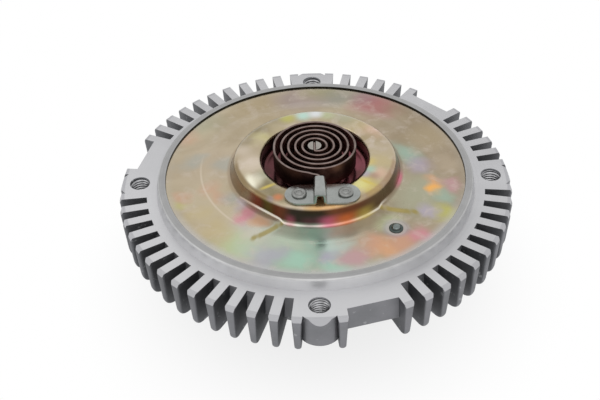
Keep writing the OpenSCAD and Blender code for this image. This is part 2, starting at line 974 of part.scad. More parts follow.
module bimetal_coil() {
    bend_y = inner_bend - inner_end_r;
    tail_z = seat_top + tail_gap;
    tail_h = tail_top - tail_z;
    color("saddlebrown") {
        strip_arc(0, -lead_drop, coil_r, 180, 90);
        translate([-coil_r - strip_t / 2, -lead_drop, coil_bottom])
            cube([strip_t, lead_drop, strip_w]);
        for (k = [0:half_turns - 1])
            strip_arc((k % 2) * half_pitch, 0, coil_r - k * half_pitch, 180 * (k % 2), 180);
        strip_arc(half_pitch, 0, inner_end_r, 270, 90);
        translate([inner_bend, -inner_end_r - strip_t / 2, coil_bottom])
            cube([half_pitch - inner_bend, strip_t, strip_w]);
        strip_arc(inner_bend, bend_y, inner_bend, 180, 90);
        translate([-strip_t / 2, bend_y, coil_bottom])
            cube([strip_t, control_r * 0.7 - bend_y, strip_w]);
        translate([0, -coil_front - tail_bend, tail_z])
            rotate_extrude(angle = 90)
                translate([tail_bend - strip_t / 2, 0])
                    square([strip_t, tail_h]);
        translate([tail_bend - strip_t / 2, -coil_front - tail_bend - tail_len, tail_z])
            cube([strip_t, tail_len, tail_h]);
    }
}

// Bracket: one strip folded up into a narrow channel that holds the coil's outer end
module coil_bracket() {
    wall_x = fold_w / 2;
    lean = 0.5;
    section = sheet([
        [-short_ear - ear_r, seat_top + fit, 0],
        [-wall_x - lean, seat_top + fit, 1],
        [-wall_x, fold_top - bracket_t, 0.4],
        [wall_x, fold_top - bracket_t, 0.4],
        [wall_x + lean, seat_top + fit, 1],
        [long_ear + ear_r, seat_top + fit, 0]
    ], bracket_t);
    color("lightgray")
        difference() {
            translate([fold_x, -rivet_y, 0])
                intersection() {
                    translate([0, ear_r, 0])
                        rotate([90, 0, 0])
                            linear_extrude(bracket_w)
                                polygon(section);
                    translate([0, 0, seat_top - over])
                        linear_extrude(fold_top - seat_top + 2 * over) {
                            translate([-short_ear, -ear_r])
                                square([short_ear + long_ear, bracket_w]);
                            translate([-short_ear, 0])
                                circle(r = ear_r);
                            translate([long_ear, 0])
                                circle(r = ear_r);
                        }
                }
            at_bracket_rivets()
                translate([0, 0, seat_top - over])
                    cylinder(r = rivet_shank_r + fit, h = bracket_t + 2 * over);
        }
}

// A shank with a low round head
module rivet(low, high, shank_r, head_r, head_h) {
    profile = outline([
        [0, low, 0],
        [shank_r, low, 0],
        [shank_r, high, 0],
        [head_r, high, 0],
        [head_r - 0.2, high + head_h * 0.55, 0.5],
        [0, high + head_h, 0]
    ]);
    rotate_extrude()
        polygon(profile);
}

// The bracket's rivets stand on the cover, so that no hole lets the oil out
module bracket_rivets() {
    head_z = seat_top + bracket_t + 2 * fit;
    color("gray")
        at_bracket_rivets()
            rivet(seat_top + fit, head_z, rivet_shank_r, rivet_d / 2, rivet_head_h);
}

module fill_plug() {
    tail_h = 0.8;
    under = cover_z - cover_t - fit;
    color("darkslategray")
        at_plug() {
            rivet(under - tail_h, cover_z + fit, plug_shank_r, plug_d / 2, plug_head_h);
            translate([0, 0, under - tail_h])
                cylinder(r = plug_shank_r + plug_tail, h = tail_h);
        }
}

input_shaft();
bearing_inner_ring();
bearing_outer_ring();
bearing_balls();
bearing_cage();
bearing_front_shield();
bearing_rear_shield();
bearing_snap_ring();
rotor();
rotor_retaining_ring();
housing();
housing_lip();
cover_seal();
separator_plate();
wiper();
wiper_rivets();
cover_plate();
shaft_bush();
control_shaft_seal();
control_shaft();
valve_arm();
bimetal_coil();
coil_bracket();
bracket_rivets();
fill_plug();
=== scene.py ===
"""Looks of a viscous fan clutch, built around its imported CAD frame.

Sizes and the film's tables are in millimetres. Lights, camera and meshes are in metres.
"""

import json
import math

import bpy
import bmesh
import numpy as np
from mathutils import Matrix, Vector

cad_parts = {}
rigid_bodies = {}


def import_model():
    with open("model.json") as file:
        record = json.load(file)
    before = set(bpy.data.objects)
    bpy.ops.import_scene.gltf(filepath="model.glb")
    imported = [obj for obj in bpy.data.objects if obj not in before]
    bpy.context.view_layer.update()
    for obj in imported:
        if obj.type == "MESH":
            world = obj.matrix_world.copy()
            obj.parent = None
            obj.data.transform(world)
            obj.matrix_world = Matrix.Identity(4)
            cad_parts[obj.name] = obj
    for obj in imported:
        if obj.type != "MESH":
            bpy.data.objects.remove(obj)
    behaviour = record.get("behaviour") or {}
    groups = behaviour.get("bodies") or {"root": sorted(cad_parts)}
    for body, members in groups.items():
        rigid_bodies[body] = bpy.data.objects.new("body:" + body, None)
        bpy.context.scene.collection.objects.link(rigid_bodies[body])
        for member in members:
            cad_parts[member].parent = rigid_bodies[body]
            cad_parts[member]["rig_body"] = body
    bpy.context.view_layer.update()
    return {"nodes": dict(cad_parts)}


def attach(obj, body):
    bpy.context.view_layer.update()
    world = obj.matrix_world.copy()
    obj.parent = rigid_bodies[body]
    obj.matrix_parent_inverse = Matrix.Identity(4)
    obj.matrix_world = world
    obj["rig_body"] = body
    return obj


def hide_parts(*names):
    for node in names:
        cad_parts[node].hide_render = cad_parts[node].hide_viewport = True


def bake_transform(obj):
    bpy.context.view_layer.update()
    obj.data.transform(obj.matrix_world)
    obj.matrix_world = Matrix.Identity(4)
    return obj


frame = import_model()
NODES = frame["nodes"]
MM = 0.001

# Sizes taken from the CAD source in millimetres, rounded where it works them out
FIT = 0.01
RIM_Z = 52.0
COVER_Z = 56.3
COVER_T = 1.8
COVER_R = 66.5
LIP_R = 64.5
LAND_R = 50.0
STEP_H = 1.2
DOME_R = 36.7
DOME_LEAN = 1.6
DOME_TOP = 66.0
DOME_CROWN = 0.5
FOOT_RISE = 0.6
SEAT_DROP = 0.8
SEAT_TOP = DOME_TOP - SEAT_DROP
WELL_R = 23.3
WELL_LEAN = 0.4
WELL_FLOOR = 58.5
BUSH_R = 5.56
PLUG_R = 50.0
PLUG_ANGLE = math.radians(-50.2)
PLUG_X = PLUG_R * math.cos(PLUG_ANGLE)
PLUG_Y = PLUG_R * math.sin(PLUG_ANGLE)
PLUG_SHANK = 1.9
FAN_PCD_R = 76.4
BOSS_H = 13.5
THREAD_R = 4.0
FIN_PLACES = 60
FIN_Z = 33.0
FIN_TIP = 83.9
FIN_CORNER = 4.0
FIN_LOW = 1.3
FIN_DRAFT = 0.0424
BEVEL_H = 2.4
BEVEL_W = 1.0
CONTROL_R = 3.0
COIL_R = 17.2
COIL_PITCH = 3.0
COIL_TOP = 70.4
STRIP_W = 9.0
STRIP_T = 0.9
HALF_TURNS = 9
LEAD_DROP = 1.3
INNER_BEND = 0.8
TAIL_BEND = 1.6
TAIL_LEN = 9.0
TAIL_GAP = 0.4
FOLD_TOP = 71.0
BRACKET_T = 1.2
RIVET_Y = -27.4
RIVET_X = (-6.9, 12.1)

# Sizes of the forms added here, in millimetres and degrees
NOSE = 1.15  # radius of the fins' round ends
NOSE_HALF = 2.3  # half the width in which a fin's end is looked for
BOSS_REACH = 8.7  # radius about a fan hole that belongs to its boss
TURNED_R = 82.0  # outside this the turning tool has bevelled the fins
TURNED_DEPTH = 4.0  # and no deeper than this below the rim
PANEL_MID = -78.3  # direction of the pressed panel in front of the raised ring
PANEL_HALF = 33.5  # its half width at the ring's foot
PANEL_SPLAY = 0.69  # growth of that half width per millimetre outwards
PANEL_FADE = 2.2  # half the width of the folds at its ends
FOOT_CUTS = ((-131, 19), (-38, 8))  # directions and half widths of the straight cuts in the ring's foot
SEAT_MID = -87.0  # direction of the bracket's seat
SEAT_LEFT = (43.2, 0.57, 23.7)  # turn to its left end, growth per millimetre, radius it is given at
SEAT_RIGHT = (38.0, 1.27, 24.8)  # the same for its right end
SEAT_RISE = 24.0  # degrees in which the ring climbs from the seat to its full height
STEP_RUN = 3.2  # half the width of the step up to the cover's land
DOME_SLOPE = 2.6  # how far the ring's side leans in, away from the seat
FOOT_R = 38.0  # radius that the height of the ring's foot is taken at
SHOULDER_R = 34.0  # radius that the height of its outer shoulder is taken at
CREST_R = 29.2  # radius of its crest
STRIP_SOFT = 0.14  # rounding of the coil's strip
THREAD_PITCH = 1.25
THREAD_START = 0.62  # depth of the first ridge in a fan hole
THREAD_SHORT = 1.3  # length of the hole that has no thread
# A ridge of the thread: out from the bore's wall, and up
THREAD_SECTION = ((0.03, -0.54), (-0.56, -0.17), (-0.62, 0.0), (-0.56, 0.17), (0.03, 0.54))

# Light: how bright the white surroundings are to the part, and the lamps' places, sizes and watts
SURROUND = 0.55
LAMPS = {
    "overhead": ((0.1, -0.6, 0.75), 0.9, 1.15),
    "left": ((-0.8, -0.2, 0.6), 0.6, 0.5),
}
AIM = Vector((0, 0, 0.04))

# The camera, fitted to the photograph: a point over the middle of the rim face, and small turns about it
LENS = 62.74
ELEVATION = math.radians(38.776)
DISTANCE = 455.677 * MM
PAN = -0.014867
TILT = -0.019758
ROLL = -0.03077
TURN = -0.010355


def srgb(code):
    """A colour written as six hexadecimal digits, as linear RGBA."""
    out = []
    for i in (0, 2, 4):
        c = int(code[i:i + 2], 16) / 255
        out.append(c / 12.92 if c <= 0.04045 else ((c + 0.055) / 1.055) ** 2.4)
    return (*out, 1.0)


class Material:
    """A procedural material: a Principled shader and short names for the nodes that feed it."""

    def __init__(self, name, **sockets):
        self.mat = bpy.data.materials.new(name)
        self.mat.use_nodes = True
        self.tree = self.mat.node_tree
        self.tree.nodes.clear()
        self.out = self.node("ShaderNodeOutputMaterial")
        self.bsdf = self.node("ShaderNodeBsdfPrincipled")
        self.tree.links.new(self.bsdf.outputs[0], self.out.inputs[0])
        for key, value in sockets.items():
            self.bsdf.inputs[key.replace("_", " ")].default_value = value
        self.coords = self.node("ShaderNodeTexCoord")
        self.place = self.coords.outputs["Object"]
        self.normal = self.coords.outputs["Normal"]

    def node(self, kind, **props):
        made = self.tree.nodes.new(kind)
        for key, value in props.items():
            setattr(made, key, value)
        return made

    def put(self, socket, value):
        """Feeds a socket from another one, a colour code or a plain value."""
        if isinstance(value, bpy.types.NodeSocket):
            self.tree.links.new(value, socket)
        elif isinstance(value, str):
            socket.default_value = srgb(value)
        elif value is not None:
            socket.default_value = value

    def math(self, op, a, b=None, c=None):
        n = self.node("ShaderNodeMath", operation=op)
        for socket, value in zip(n.inputs, (a, b, c)):
            self.put(socket, value)
        return n.outputs[0]

    def vector(self, op, a, b=None, scale=None):
        n = self.node("ShaderNodeVectorMath", operation=op)
        self.put(n.inputs[0], a)
        self.put(n.inputs[1], b)
        if scale is not None:
            self.put(n.inputs["Scale"], scale)
        return n.outputs["Value"] if op in ("LENGTH", "DISTANCE", "DOT_PRODUCT") else n.outputs[0]

    def split(self, vector):
        n = self.node("ShaderNodeSeparateXYZ")
        self.put(n.inputs[0], vector)
        return n.outputs

    def join(self, x, y, z):
        n = self.node("ShaderNodeCombineXYZ")
        for socket, value in zip(n.inputs, (x, y, z)):
            self.put(socket, value)
        return n.outputs[0]

    def ease(self, value, low, high, out_low=0.0, out_high=1.0):
        """A smooth step of value from low to high."""
        n = self.node("ShaderNodeMapRange", interpolation_type="SMOOTHSTEP")
        for socket, v in zip(n.inputs, (value, low, high, out_low, out_high)):
            self.put(socket, v)
        return n.outputs[0]

    def ease_mm(self, value, low, high, out_low=0.0, out_high=1.0):
        """The same with low and high in millimetres."""
        return self.ease(value, low * MM, high * MM, out_low, out_high)

    def product(self, *shares):
        """Several shares multiplied together."""
        out = shares[0]
        for share in shares[1:]:
            out = self.math("MULTIPLY", out, share)
        return out

    def mix(self, share, a, b):
        n = self.node("ShaderNodeMix", data_type="RGBA", clamp_factor=True)
        self.put(n.inputs["Factor"], share)
        self.put(n.inputs[6], a)
        self.put(n.inputs[7], b)
        return n.outputs[2]

    def noise(self, vector, scale, detail=3.0, rough=0.5, colour=False, warp=0.0):
        n = self.node("ShaderNodeTexNoise")
        self.put(n.inputs["Vector"], vector)
        n.inputs["Scale"].default_value = scale
        n.inputs["Detail"].default_value = detail
        n.inputs["Roughness"].default_value = rough
        n.inputs["Distortion"].default_value = warp
        return n.outputs["Color" if colour else "Fac"]

    def bump(self, height, distance, strength):
        n = self.node("ShaderNodeBump")
        n.inputs["Strength"].default_value = strength
        n.inputs["Distance"].default_value = distance
        self.put(n.inputs["Height"], height)
        return n.outputs[0]

    def set(self, **sockets):
        for key, value in sockets.items():
            self.put(self.bsdf.inputs[key.replace("_", " ")], value)
        return self.mat

    def radius(self):
        """Distance from the turning axis, in metres."""
        x, y, _ = self.split(self.place)
        return self.vector("LENGTH", self.join(x, y, 0.0))

    def outward(self):
        """How far the surface faces away from the turning axis, from -1 to 1."""
        x, y, _ = self.split(self.place)
        facing = self.vector("DOT_PRODUCT", self.normal, self.join(x, y, 0.0))
        return self.math("DIVIDE", facing, self.radius())

    def clouded(self, cloud, low_code, high_code, low=0.3, high=0.7):
        """A colour that drifts between two codes with a noise."""
        return self.mix(self.ease(cloud, low, high), low_code, high_code)


def worn_metal(name, code, rough, grain=900.0, dent=0.00002, dark=0.72):
    """A plain metal: cloudy colour and roughness, and fine grain."""
    m = Material(name, Metallic=1.0)
    cloud = m.noise(m.place, 160.0, 4.0, 0.6)
    fine = m.noise(m.place, grain, 3.0, 0.6)
    colour = srgb(code)
    shade = tuple(c * dark for c in colour[:3]) + (1.0,)
    return m.set(
        Base_Color=m.mix(m.ease(cloud, 0.3, 0.7), shade, colour),
        Roughness=m.math("MULTIPLY_ADD", cloud, 0.12, rough - 0.06),
        Normal=m.bump(fine, dent, 0.5),
    )


def turned_metal(name, code, rough, pitch=2600.0):
    """A turned metal with fine rings about the axis."""
    m = Material(name, Metallic=1.0)
    _, _, z = m.split(m.place)
    ring = m.join(m.math("MULTIPLY", m.radius(), pitch), 0.0, m.math("MULTIPLY", z, pitch))
    lines = m.noise(ring, 1.0, 2.0, 0.6)
    cloud = m.noise(m.place, 120.0, 4.0, 0.6)
    colour = srgb(code)
    shade = tuple(c * 0.7 for c in colour[:3]) + (1.0,)
    share = m.math("MULTIPLY_ADD", lines, 0.5, m.math("MULTIPLY", cloud, 0.5))
    return m.set(
        Base_Color=m.mix(m.ease(share, 0.3, 0.7), shade, colour),
        Roughness=m.math("MULTIPLY_ADD", lines, 0.16, rough - 0.08),
        Normal=m.bump(lines, 0.000012, 0.6),
    )


def housing_material():
    """Cast aluminium with a dull grainy skin; the rim face and the bevel over the fins are turned bright."""
    m = Material("cast_aluminium", Metallic=1.0)
    x, y, z = m.split(m.place)
    _, _, up = m.split(m.normal)
    radius = m.radius()
    face = m.product(m.ease(up, 0.8, 0.95), m.ease_mm(z, RIM_Z - 0.3, RIM_Z - 0.1))
    bevel = m.product(m.ease(up, 0.22, 0.34), m.ease_mm(radius, TURNED_R + 0.4, TURNED_R + 0.9),
                      m.ease_mm(z, RIM_Z - TURNED_DEPTH, RIM_Z - TURNED_DEPTH + 0.6))
    turned = m.math("MAXIMUM", face, bevel)

    lines = m.noise(m.join(m.math("MULTIPLY", radius, 2200.0), 0.0, 0.0), 1.0, 2.0, 0.6)
    cloud = m.noise(m.place, 70.0, 5.0, 0.6)
    grain = m.noise(m.place, 700.0, 4.0, 0.65)
    pits = m.ease(m.noise(m.place, 330.0, 2.0, 0.5), 0.66, 0.74)

    # The skin: painted shade makes the fins' sides dark between the fins, against paler ends that are
    # painted darker on the left; painted light makes the sides paler at the back
    front = m.clouded(cloud, "828386", "929296")
    # Painted shade: the fins' ends darker towards the left
    front = m.mix(m.ease_mm(x, -30, -70, 0.0, 0.5), front, "66676A")
    cast = m.clouded(cloud, "5C5D60", "707174")
    # Painted light: the fins' sides paler towards the back
    cast = m.mix(m.ease_mm(y, 0, 50, 0.0, 0.55), cast, "8C8D90")
    # Painted shade: faces that look outwards take the paler colour of the ends, and the rest keep the darker
    # colour of the sides
    cast = m.mix(m.ease(m.outward(), 0.25, 0.8), cast, front)
    cast = m.mix(m.math("MULTIPLY", pits, 0.5), cast, "B9BABC")

    # The turned faces: a painted highlight makes them brightest in front, and they are duller on the bevel
    share = m.math("MULTIPLY_ADD", lines, 0.45, m.math("MULTIPLY", cloud, 0.55))
    bright = m.clouded(share, "B8B8BA", "C4C4C6")
    # Painted highlight: the turned faces lighter towards the front left
    painted_sheen = m.ease_mm(m.math("MULTIPLY_ADD", x, 0.6, y), -10, -65, 0.0, 0.65)
    bright = m.mix(painted_sheen, bright, "D0D0D2")
    bright = m.mix(m.math("MULTIPLY", bevel, 0.55), bright, "A4A4A8")

    height = m.math("MULTIPLY", m.math("SUBTRACT", 1.0, turned), grain)
    height = m.math("MULTIPLY_ADD", lines, 0.12, height)
    rough = m.mix(turned, (0.56, 0.56, 0.56, 1.0), (0.36, 0.36, 0.36, 1.0))
    return m.set(
        Base_Color=m.mix(turned, cast, bright),
        Roughness=m.math("MULTIPLY_ADD", cloud, 0.12, rough),
        Normal=m.bump(height, 0.00006, 0.45),
    )


def lip_material():
    """The rolled lip: burnished aluminium with faint rings, a painted darker top and brighter flank, and
    painted shade in the groove beside the cover.
    """
    m = Material("burnished_aluminium", Metallic=1.0)
    x, y, z = m.split(m.place)
    _, _, up = m.split(m.normal)
    radius = m.radius()
    rings = m.join(m.math("MULTIPLY", radius, 1500.0), 0.0, m.math("MULTIPLY", z, 1500.0))
    rings = m.noise(rings, 1.0, 2.0)
    around = m.join(m.math("MULTIPLY", x, 120.0), m.math("MULTIPLY", y, 120.0), 0.0)
    around = m.noise(around, 1.0, 4.0, 0.6)
    share = m.math("MULTIPLY_ADD", rings, 0.4, m.math("MULTIPLY", around, 0.6))
    colour = m.clouded(share, "A9A9A9", "C3C3C3")
    # Painted light and shade: the lip's top darker and its flank brighter
    colour = m.mix(m.ease(up, 0.75, 0.95, 0.0, 0.55), colour, "909090")
    colour = m.mix(m.ease(up, 0.5, 0.2, 0.0, 0.6), colour, "E2E2E4")
    # Painted shade in the groove between the lip and the cover
    groove = m.product(m.ease(m.outward(), -0.3, -0.7), m.ease_mm(radius, LIP_R + 1.5, LIP_R + 0.5))
    return m.set(
        Base_Color=m.mix(groove, colour, "2B2A24"),
        Roughness=m.math("MULTIPLY_ADD", around, 0.14, 0.33),
        Normal=m.bump(rings, 0.00003, 0.4),
    )


# Tints of the chromate film on the cover, which also colour its painted reflections and highlights
FILM = {
    "apricot": "D4A27C",
    "ash": "8E8E84",
    "bronze": "857B5E",
    "butter": "DEDA94",
    "copper": "D68A62",
    "cream": "DACCBC",
    "flame": "DF7E48",
    "gold": "D0BC66",
    "heather": "9A7C80",
    "ice": "BADACE",
    "ivory": "F4F0DA",
    "khaki": "9C9670",
    "lilac": "B0A6BA",
    "lime": "B4C298",
    "magenta": "D46A88",
    "mauve": "9A8A88",
    "mint": "A2C6B2",
    "moss": "6A6428",
    "old pink": "C2949C",
    "orange": "EEB062",
    "pale green": "B6C4B0",
    "peach": "DAB4A0",
    "pink": "D08C98",
    "plum": "7A4450",
    "rose": "A8666C",
    "rust": "823E20",
    "sage": "A8AA92",
    "salmon": "CA9C82",
    "sand": "B9AA94",
    "sea": "9AB2A2",
    "silver": "DCE0E2",
    "slate": "AEAFBC",
    "stone": "A3A7A0",
    "straw": "C0B086",
    "tan": "A69678",
    "umber": "6A5642",
    "yellow": "B8B468",
}

# Soft patches of the film on the plate: place and size in millimetres, tint, strength
PATCHES = (
    (-24, 49, 20, "tan", 0.8),
    (29, 49, 15, "rose", 0.75),
    (24, 56, 10, "heather", 0.7),
    (10, 56, 14, "ash", 0.8),
    (-8, 54, 16, "mauve", 0.75),
    (3, 62, 10, "khaki", 0.6),
    (-57, 27, 9, "salmon", 0.55),
    (-50, 36, 12, "sage", 0.5),
    (-45, 5, 22, "sand", 0.7),
    (44, -18, 18, "sage", 0.75),
    (0, -52, 27, "sea", 0.9),
    (-26, -38, 14, "silver", 0.35),
    (-13, -42, 12, "pale green", 0.85),
    (2, -41, 10, "mint", 0.8),
    (8, -44, 9, "silver", 0.35),
    (-29, -31, 6, "pink", 0.85),
    (-22, -34, 5, "apricot", 0.7),
    (-33, -47, 11, "lime", 0.8),
    (-27, -50, 9, "pale green", 0.7),
    (-40, -38, 10, "straw", 0.6),
    (-20, -54, 10, "slate", 0.7),
    (-9, -57, 9, "mint", 0.85),
    (5, -53, 7, "lilac", 0.7),
    (9, -60, 9, "mint", 0.85),
    (15, -54, 8, "old pink", 0.75),
    (21, -46, 9, "salmon", 0.85),
    (28, -50, 9, "apricot", 0.85),
    (35, -45, 9, "salmon", 0.85),
    (43, -41, 7, "pink", 0.8),
    (30, -33, 8, "lime", 0.55),
    (13, -40, 8, "sand", 0.6),
    (50, -14, 4.5, "orange", 0.95),
    (50, -9, 5, "apricot", 0.7),
    (58, -10, 6, "old pink", 0.7),
    (55, -18, 6, "sea", 0.7),
    (53, -28, 7, "yellow", 0.85),
    (47, -27, 5, "lilac", 0.7),
    (40, 10, 10, "sea", 0.85),
    (45, 1, 8, "lilac", 0.6),
    (49, 22, 13, "tan", 0.6),
    (57, 5, 8, "sand", 0.5),
    (-54, 8, 6, "stone", 0.6),
    (-41, 4, 7, "stone", 0.6),
    (-44, -12, 7, "salmon", 0.45),
    (-40, -19, 6, "salmon", 0.5),
    (-36, -20, 6, "stone", 0.7),
    (-31, -24, 5, "lilac", 0.7),
    (-56, -14, 5, "salmon", 0.5),
    (-57, -20, 4, "yellow", 0.5),
    (-50, -28, 8, "straw", 0.5),
)
# The same on the raised ring: clouds that flow with the film, and painted reflections of its facets that
# don't
RING_CLOUDS = (
    (-27, 5, 11, "sand", 0.7),
    (2, 33, 17, "sand", 0.6),
    (-31, 9, 7, "bronze", 0.5),
    (-26, 19, 9, "bronze", 0.8),
    (-18, 28, 9, "bronze", 0.75),
    (-24, 11, 6, "butter", 0.35),
    (20, 21, 8, "straw", 0.5),
    (26, 17, 8, "peach", 0.6),
    (30, 5, 8, "sand", 0.6),
    (28, -7, 8, "straw", 0.7),
    (22, -21, 6, "gold", 0.8),
    (-20, -24, 7, "bronze", 0.8),
    (2, -33, 10, "orange", 0.6),
)
RING_REFLECTIONS = (
    (14, 26, 7, "sage", 0.6),
    (6, 28.5, 5, "lime", 0.6),
    (-4.5, 28.5, 5, "ice", 0.9),
    (1, 29.5, 4.5, "silver", 0.9),
    (-11.5, 27, 5, "yellow", 0.9),
    (-27, -6, 9, "cream", 0.65),
    (-31, 4, 5, "cream", 0.5),
    (-21, -14, 6, "sage", 0.7),
    (-20.5, -18.5, 4, "bronze", 0.8),
    (-25.5, -17, 5, "ivory", 0.55),
    (-15.5, -27.5, 3, "copper", 0.8),
    (-19.5, -28.5, 2.5, "lilac", 0.7),
    (27, -14, 5, "peach", 0.6),
    (22.6, -11, 4, "mint", 0.75),
    (20.6, -14, 3, "lilac", 0.65),
    (24.5, -15.5, 3, "plum", 0.3),
    (22.5, -6, 4.5, "gold", 0.65),
    (18.5, -20.5, 5, "butter", 0.7),
)
# Painted highlights on the ring, long and thin: place, direction, length and width in millimetres, tint
RING_HIGHLIGHTS = (
    (-28.6, -11.5, 0.29, -0.957, 13.0, 2.6, "ivory"),
    (-15.6, -18.1, -0.867, -0.498, 10.0, 1.3, "gold"),
    (18.0, -17.0, 0.833, -0.553, 8.5, 1.1, "gold"),
)
# Patches on the ring's wall, and on the foot of that wall
WALL_STAINS = (
    (-25, -25, 5, "rust", 0.8),
    (-20, -29, 4, "moss", 0.7),
    (-15, -32, 5, "rust", 0.6),
    (31, -17, 6, "umber", 0.7),
)
FOOT_GLOW = (
    (5, -36, 6, "magenta", 0.8),
    (12, -34, 7, "flame", 0.8),
    (20, -31, 6, "gold", 0.7),
    (-11, -35.5, 3, "magenta", 0.45),
    (35.5, -9, 7, "magenta", 0.65),
    (-3, -37, 5, "plum", 0.5),
)


class CoverFilm(Material):
    """Yellow chromate on pressed steel, with the places and noises that the zones of the cover share."""

    def __init__(self):
        super().__init__("yellow_chromate", Metallic=1.0)
        self.x, self.y, self.z = self.split(self.place)
        self.from_axis = self.radius()
        self.flat = self.join(self.x, self.y, 0.0)
        flow = self.noise(self.place, 55.0, 3.0, 0.55, colour=True)
        flow = self.vector("SCALE", self.vector("SUBTRACT", flow, (0.5, 0.5, 0.5)), scale=16 * MM)
        self.moved = self.vector("ADD", self.flat, self.vector("MULTIPLY", flow, (1.0, 1.0, 0.0)))
        self.cloud = self.noise(self.place, 38.0, 4.0, 0.55, warp=0.6)
        self.small = self.noise(self.place, 150.0, 4.0, 0.6, warp=0.4)
        self.ahead = self.ease_mm(self.y, -20, -29)

    def above(self, low, high):
        """A share that grows between two heights, given as distances below the raised ring's top."""
        return self.ease_mm(self.z, DOME_TOP - low, DOME_TOP - high)

    def patches(self, colour, place, table, inner, outer, share=1.0):
        """The colour with soft round patches; inner and outer are shares of a patch's size."""
        for x, y, size, tint, strength in table:
            far = self.vector("DISTANCE", place, (x * MM, y * MM, 0.0))
            amount = self.ease_mm(far, inner * size, outer * size, strength, 0.0)
            colour = self.mix(self.math("MULTIPLY", amount, share), colour, FILM[tint])
        return colour

    def streaks(self, colour):
        """The colour with the ring's painted highlights, which fade at both ends."""
        for x, y, along_x, along_y, length, width, tint in RING_HIGHLIGHTS:
            local = self.vector("SUBTRACT", self.flat, (x * MM, y * MM, 0.0))
            along = self.vector("DOT_PRODUCT", local, (along_x, along_y, 0.0))
            aside = self.math("ABSOLUTE", self.vector("DOT_PRODUCT", local, (-along_y, along_x, 0.0)))
            streak = self.product(
                self.ease_mm(aside, 0.0, width, 0.85, 0.0),
                self.ease_mm(along, length, 0.6 * length),
                self.ease_mm(along, -0.1 * length, 0.4 * length),
            )
            colour = self.mix(streak, colour, FILM[tint])
        return colour


def plate_film(m, silver):
    """The plate: a drifting beige with soft rainbow patches, which thins out to silver towards the lip."""
    colour = m.clouded(m.cloud, "AA9C82", "BDB096", 0.32, 0.66)
    # Painted shade: the plate darker towards the right
    colour = m.mix(m.ease_mm(m.x, 0, 42, 0.0, 0.36), colour, "705A4C")
    colour = m.patches(colour, m.moved, PATCHES, 0.15, 1.15)
    colour = m.mix(m.math("MULTIPLY", m.ease(m.small, 0.5, 0.72), 0.35), colour, "C9BDB0")
    colour = m.mix(silver, colour, "BDBDBE")

    # A pale line on the left, near the step up to the land: an arc about a point beside the axis
    far = m.vector("DISTANCE", m.flat, (2 * MM, 4 * MM, 0.0))
    pale_line = m.math("ABSOLUTE", m.math("SUBTRACT", far, 51.6 * MM))
    pale_line = m.product(m.ease_mm(pale_line, 0.1, 0.7, 0.5, 0.0), m.ease_mm(m.x, -30, -38), m.ease_mm(m.y, 18, -6))
    return m.mix(pale_line, colour, "D6C8B6")


def ring_film(m, colour):
    """The raised ring: paler and golden, with painted reflections and highlights, and painted shade in brown
    on its shoulder on both sides.
    """
    gold = m.clouded(m.cloud, "A99A7C", "B8AB8E", 0.35, 0.62)
    gold = m.mix(m.ease(m.small, 0.45, 0.7), gold, "C4B7A6")
    gold = m.patches(gold, m.moved, RING_CLOUDS, 0.0, 1.25)
    # Painted reflections of the ring's facets
    gold = m.patches(gold, m.flat, RING_REFLECTIONS, 0.1, 1.15)
    # Painted highlights on the ring
    gold = m.streaks(gold)
    colour = m.mix(m.above(5.5, 2.0), colour, gold)
    # Painted shade: the shoulder brown at both front sides
    brown = m.product(
        m.ease_mm(m.math("ABSOLUTE", m.x), 15, 22),
        m.ease_mm(m.y, 1, -8),
        m.ease_mm(m.from_axis, 32.4, 33.8),
        m.above(7.6, 6.6),
        m.ease_mm(m.x, -5, 5, 0.85, 0.5),
    )
    return m.mix(brown, colour, m.mix(m.ease_mm(m.x, -5, 5), "867250", "94705A"))


def wall_film(m, colour):
    """The ring's wall: painted shade makes it dark in front and brown at the sides; rust to its right and
    the patches are stains.
    """
    wall = m.product(m.above(9.0, 7.0), m.above(1.2, 2.6),
                     m.ease_mm(m.from_axis, 32.5, 33.5), m.ease_mm(m.from_axis, 38.6, 37.4))
    # Painted shade darkens the front of the wall; stains tint it rust to the right
    stain_and_shade = m.mix(m.ease_mm(m.x, 1, 8), "241913", "74422A")
    stain_and_shade = m.mix(m.ease_mm(m.x, 14, 26), stain_and_shade, "6C5A44")
    sides = m.mix(m.ease_mm(m.x, 10, 30), "948068", "75624E")
    stain_and_shade = m.mix(m.ahead, sides, stain_and_shade)
    stain_and_shade = m.patches(stain_and_shade, m.flat, WALL_STAINS, 0.1, 1.2)
    return m.mix(m.math("MULTIPLY", wall, 0.94), colour, stain_and_shade)


def well_film(m, colour):
    """The coil's well: a dark red film tint with painted shade in the recess, darkest on the left."""
    well = m.product(m.ease_mm(m.from_axis, WELL_R + 0.6, WELL_R - 0.2), m.above(0.8, 3.4))
    lining_and_shade = m.clouded(m.small, "643E3E", "7C464E", 0.35, 0.65)
    # Painted shade: the well darkest on the left
    lining_and_shade = m.mix(m.ease_mm(m.x, 12, -10, 0.0, 0.6), lining_and_shade, "3A2624")
    return m.mix(well, colour, lining_and_shade)


def crease_film(m, colour):
    """Painted shade on the golden folds at the panel's ends, a painted highlight along the crease at the
    ring's foot, and the glow beside it.
    """
    foot = m.node("ShaderNodeAttribute", attribute_name="foot").outputs["Fac"]
    fold = m.node("ShaderNodeAttribute", attribute_name="fold").outputs["Fac"]
    # Painted shade: olive-gold on the faces of the folds
    colour = m.mix(m.ease(fold, 0.0, 0.9, 0.0, 0.8), colour, "9A8A4C")
    # Painted highlight: a bright line along the ring's foot in front
    colour = m.mix(m.product(foot, m.ahead, 0.6), colour, "F2EEE4")
    low = m.product(m.above(3.5, 7.0), m.ease_mm(m.from_axis, 38.6, 37.2))
    return m.patches(colour, m.flat, FOOT_GLOW, 0.0, 1.2, low)


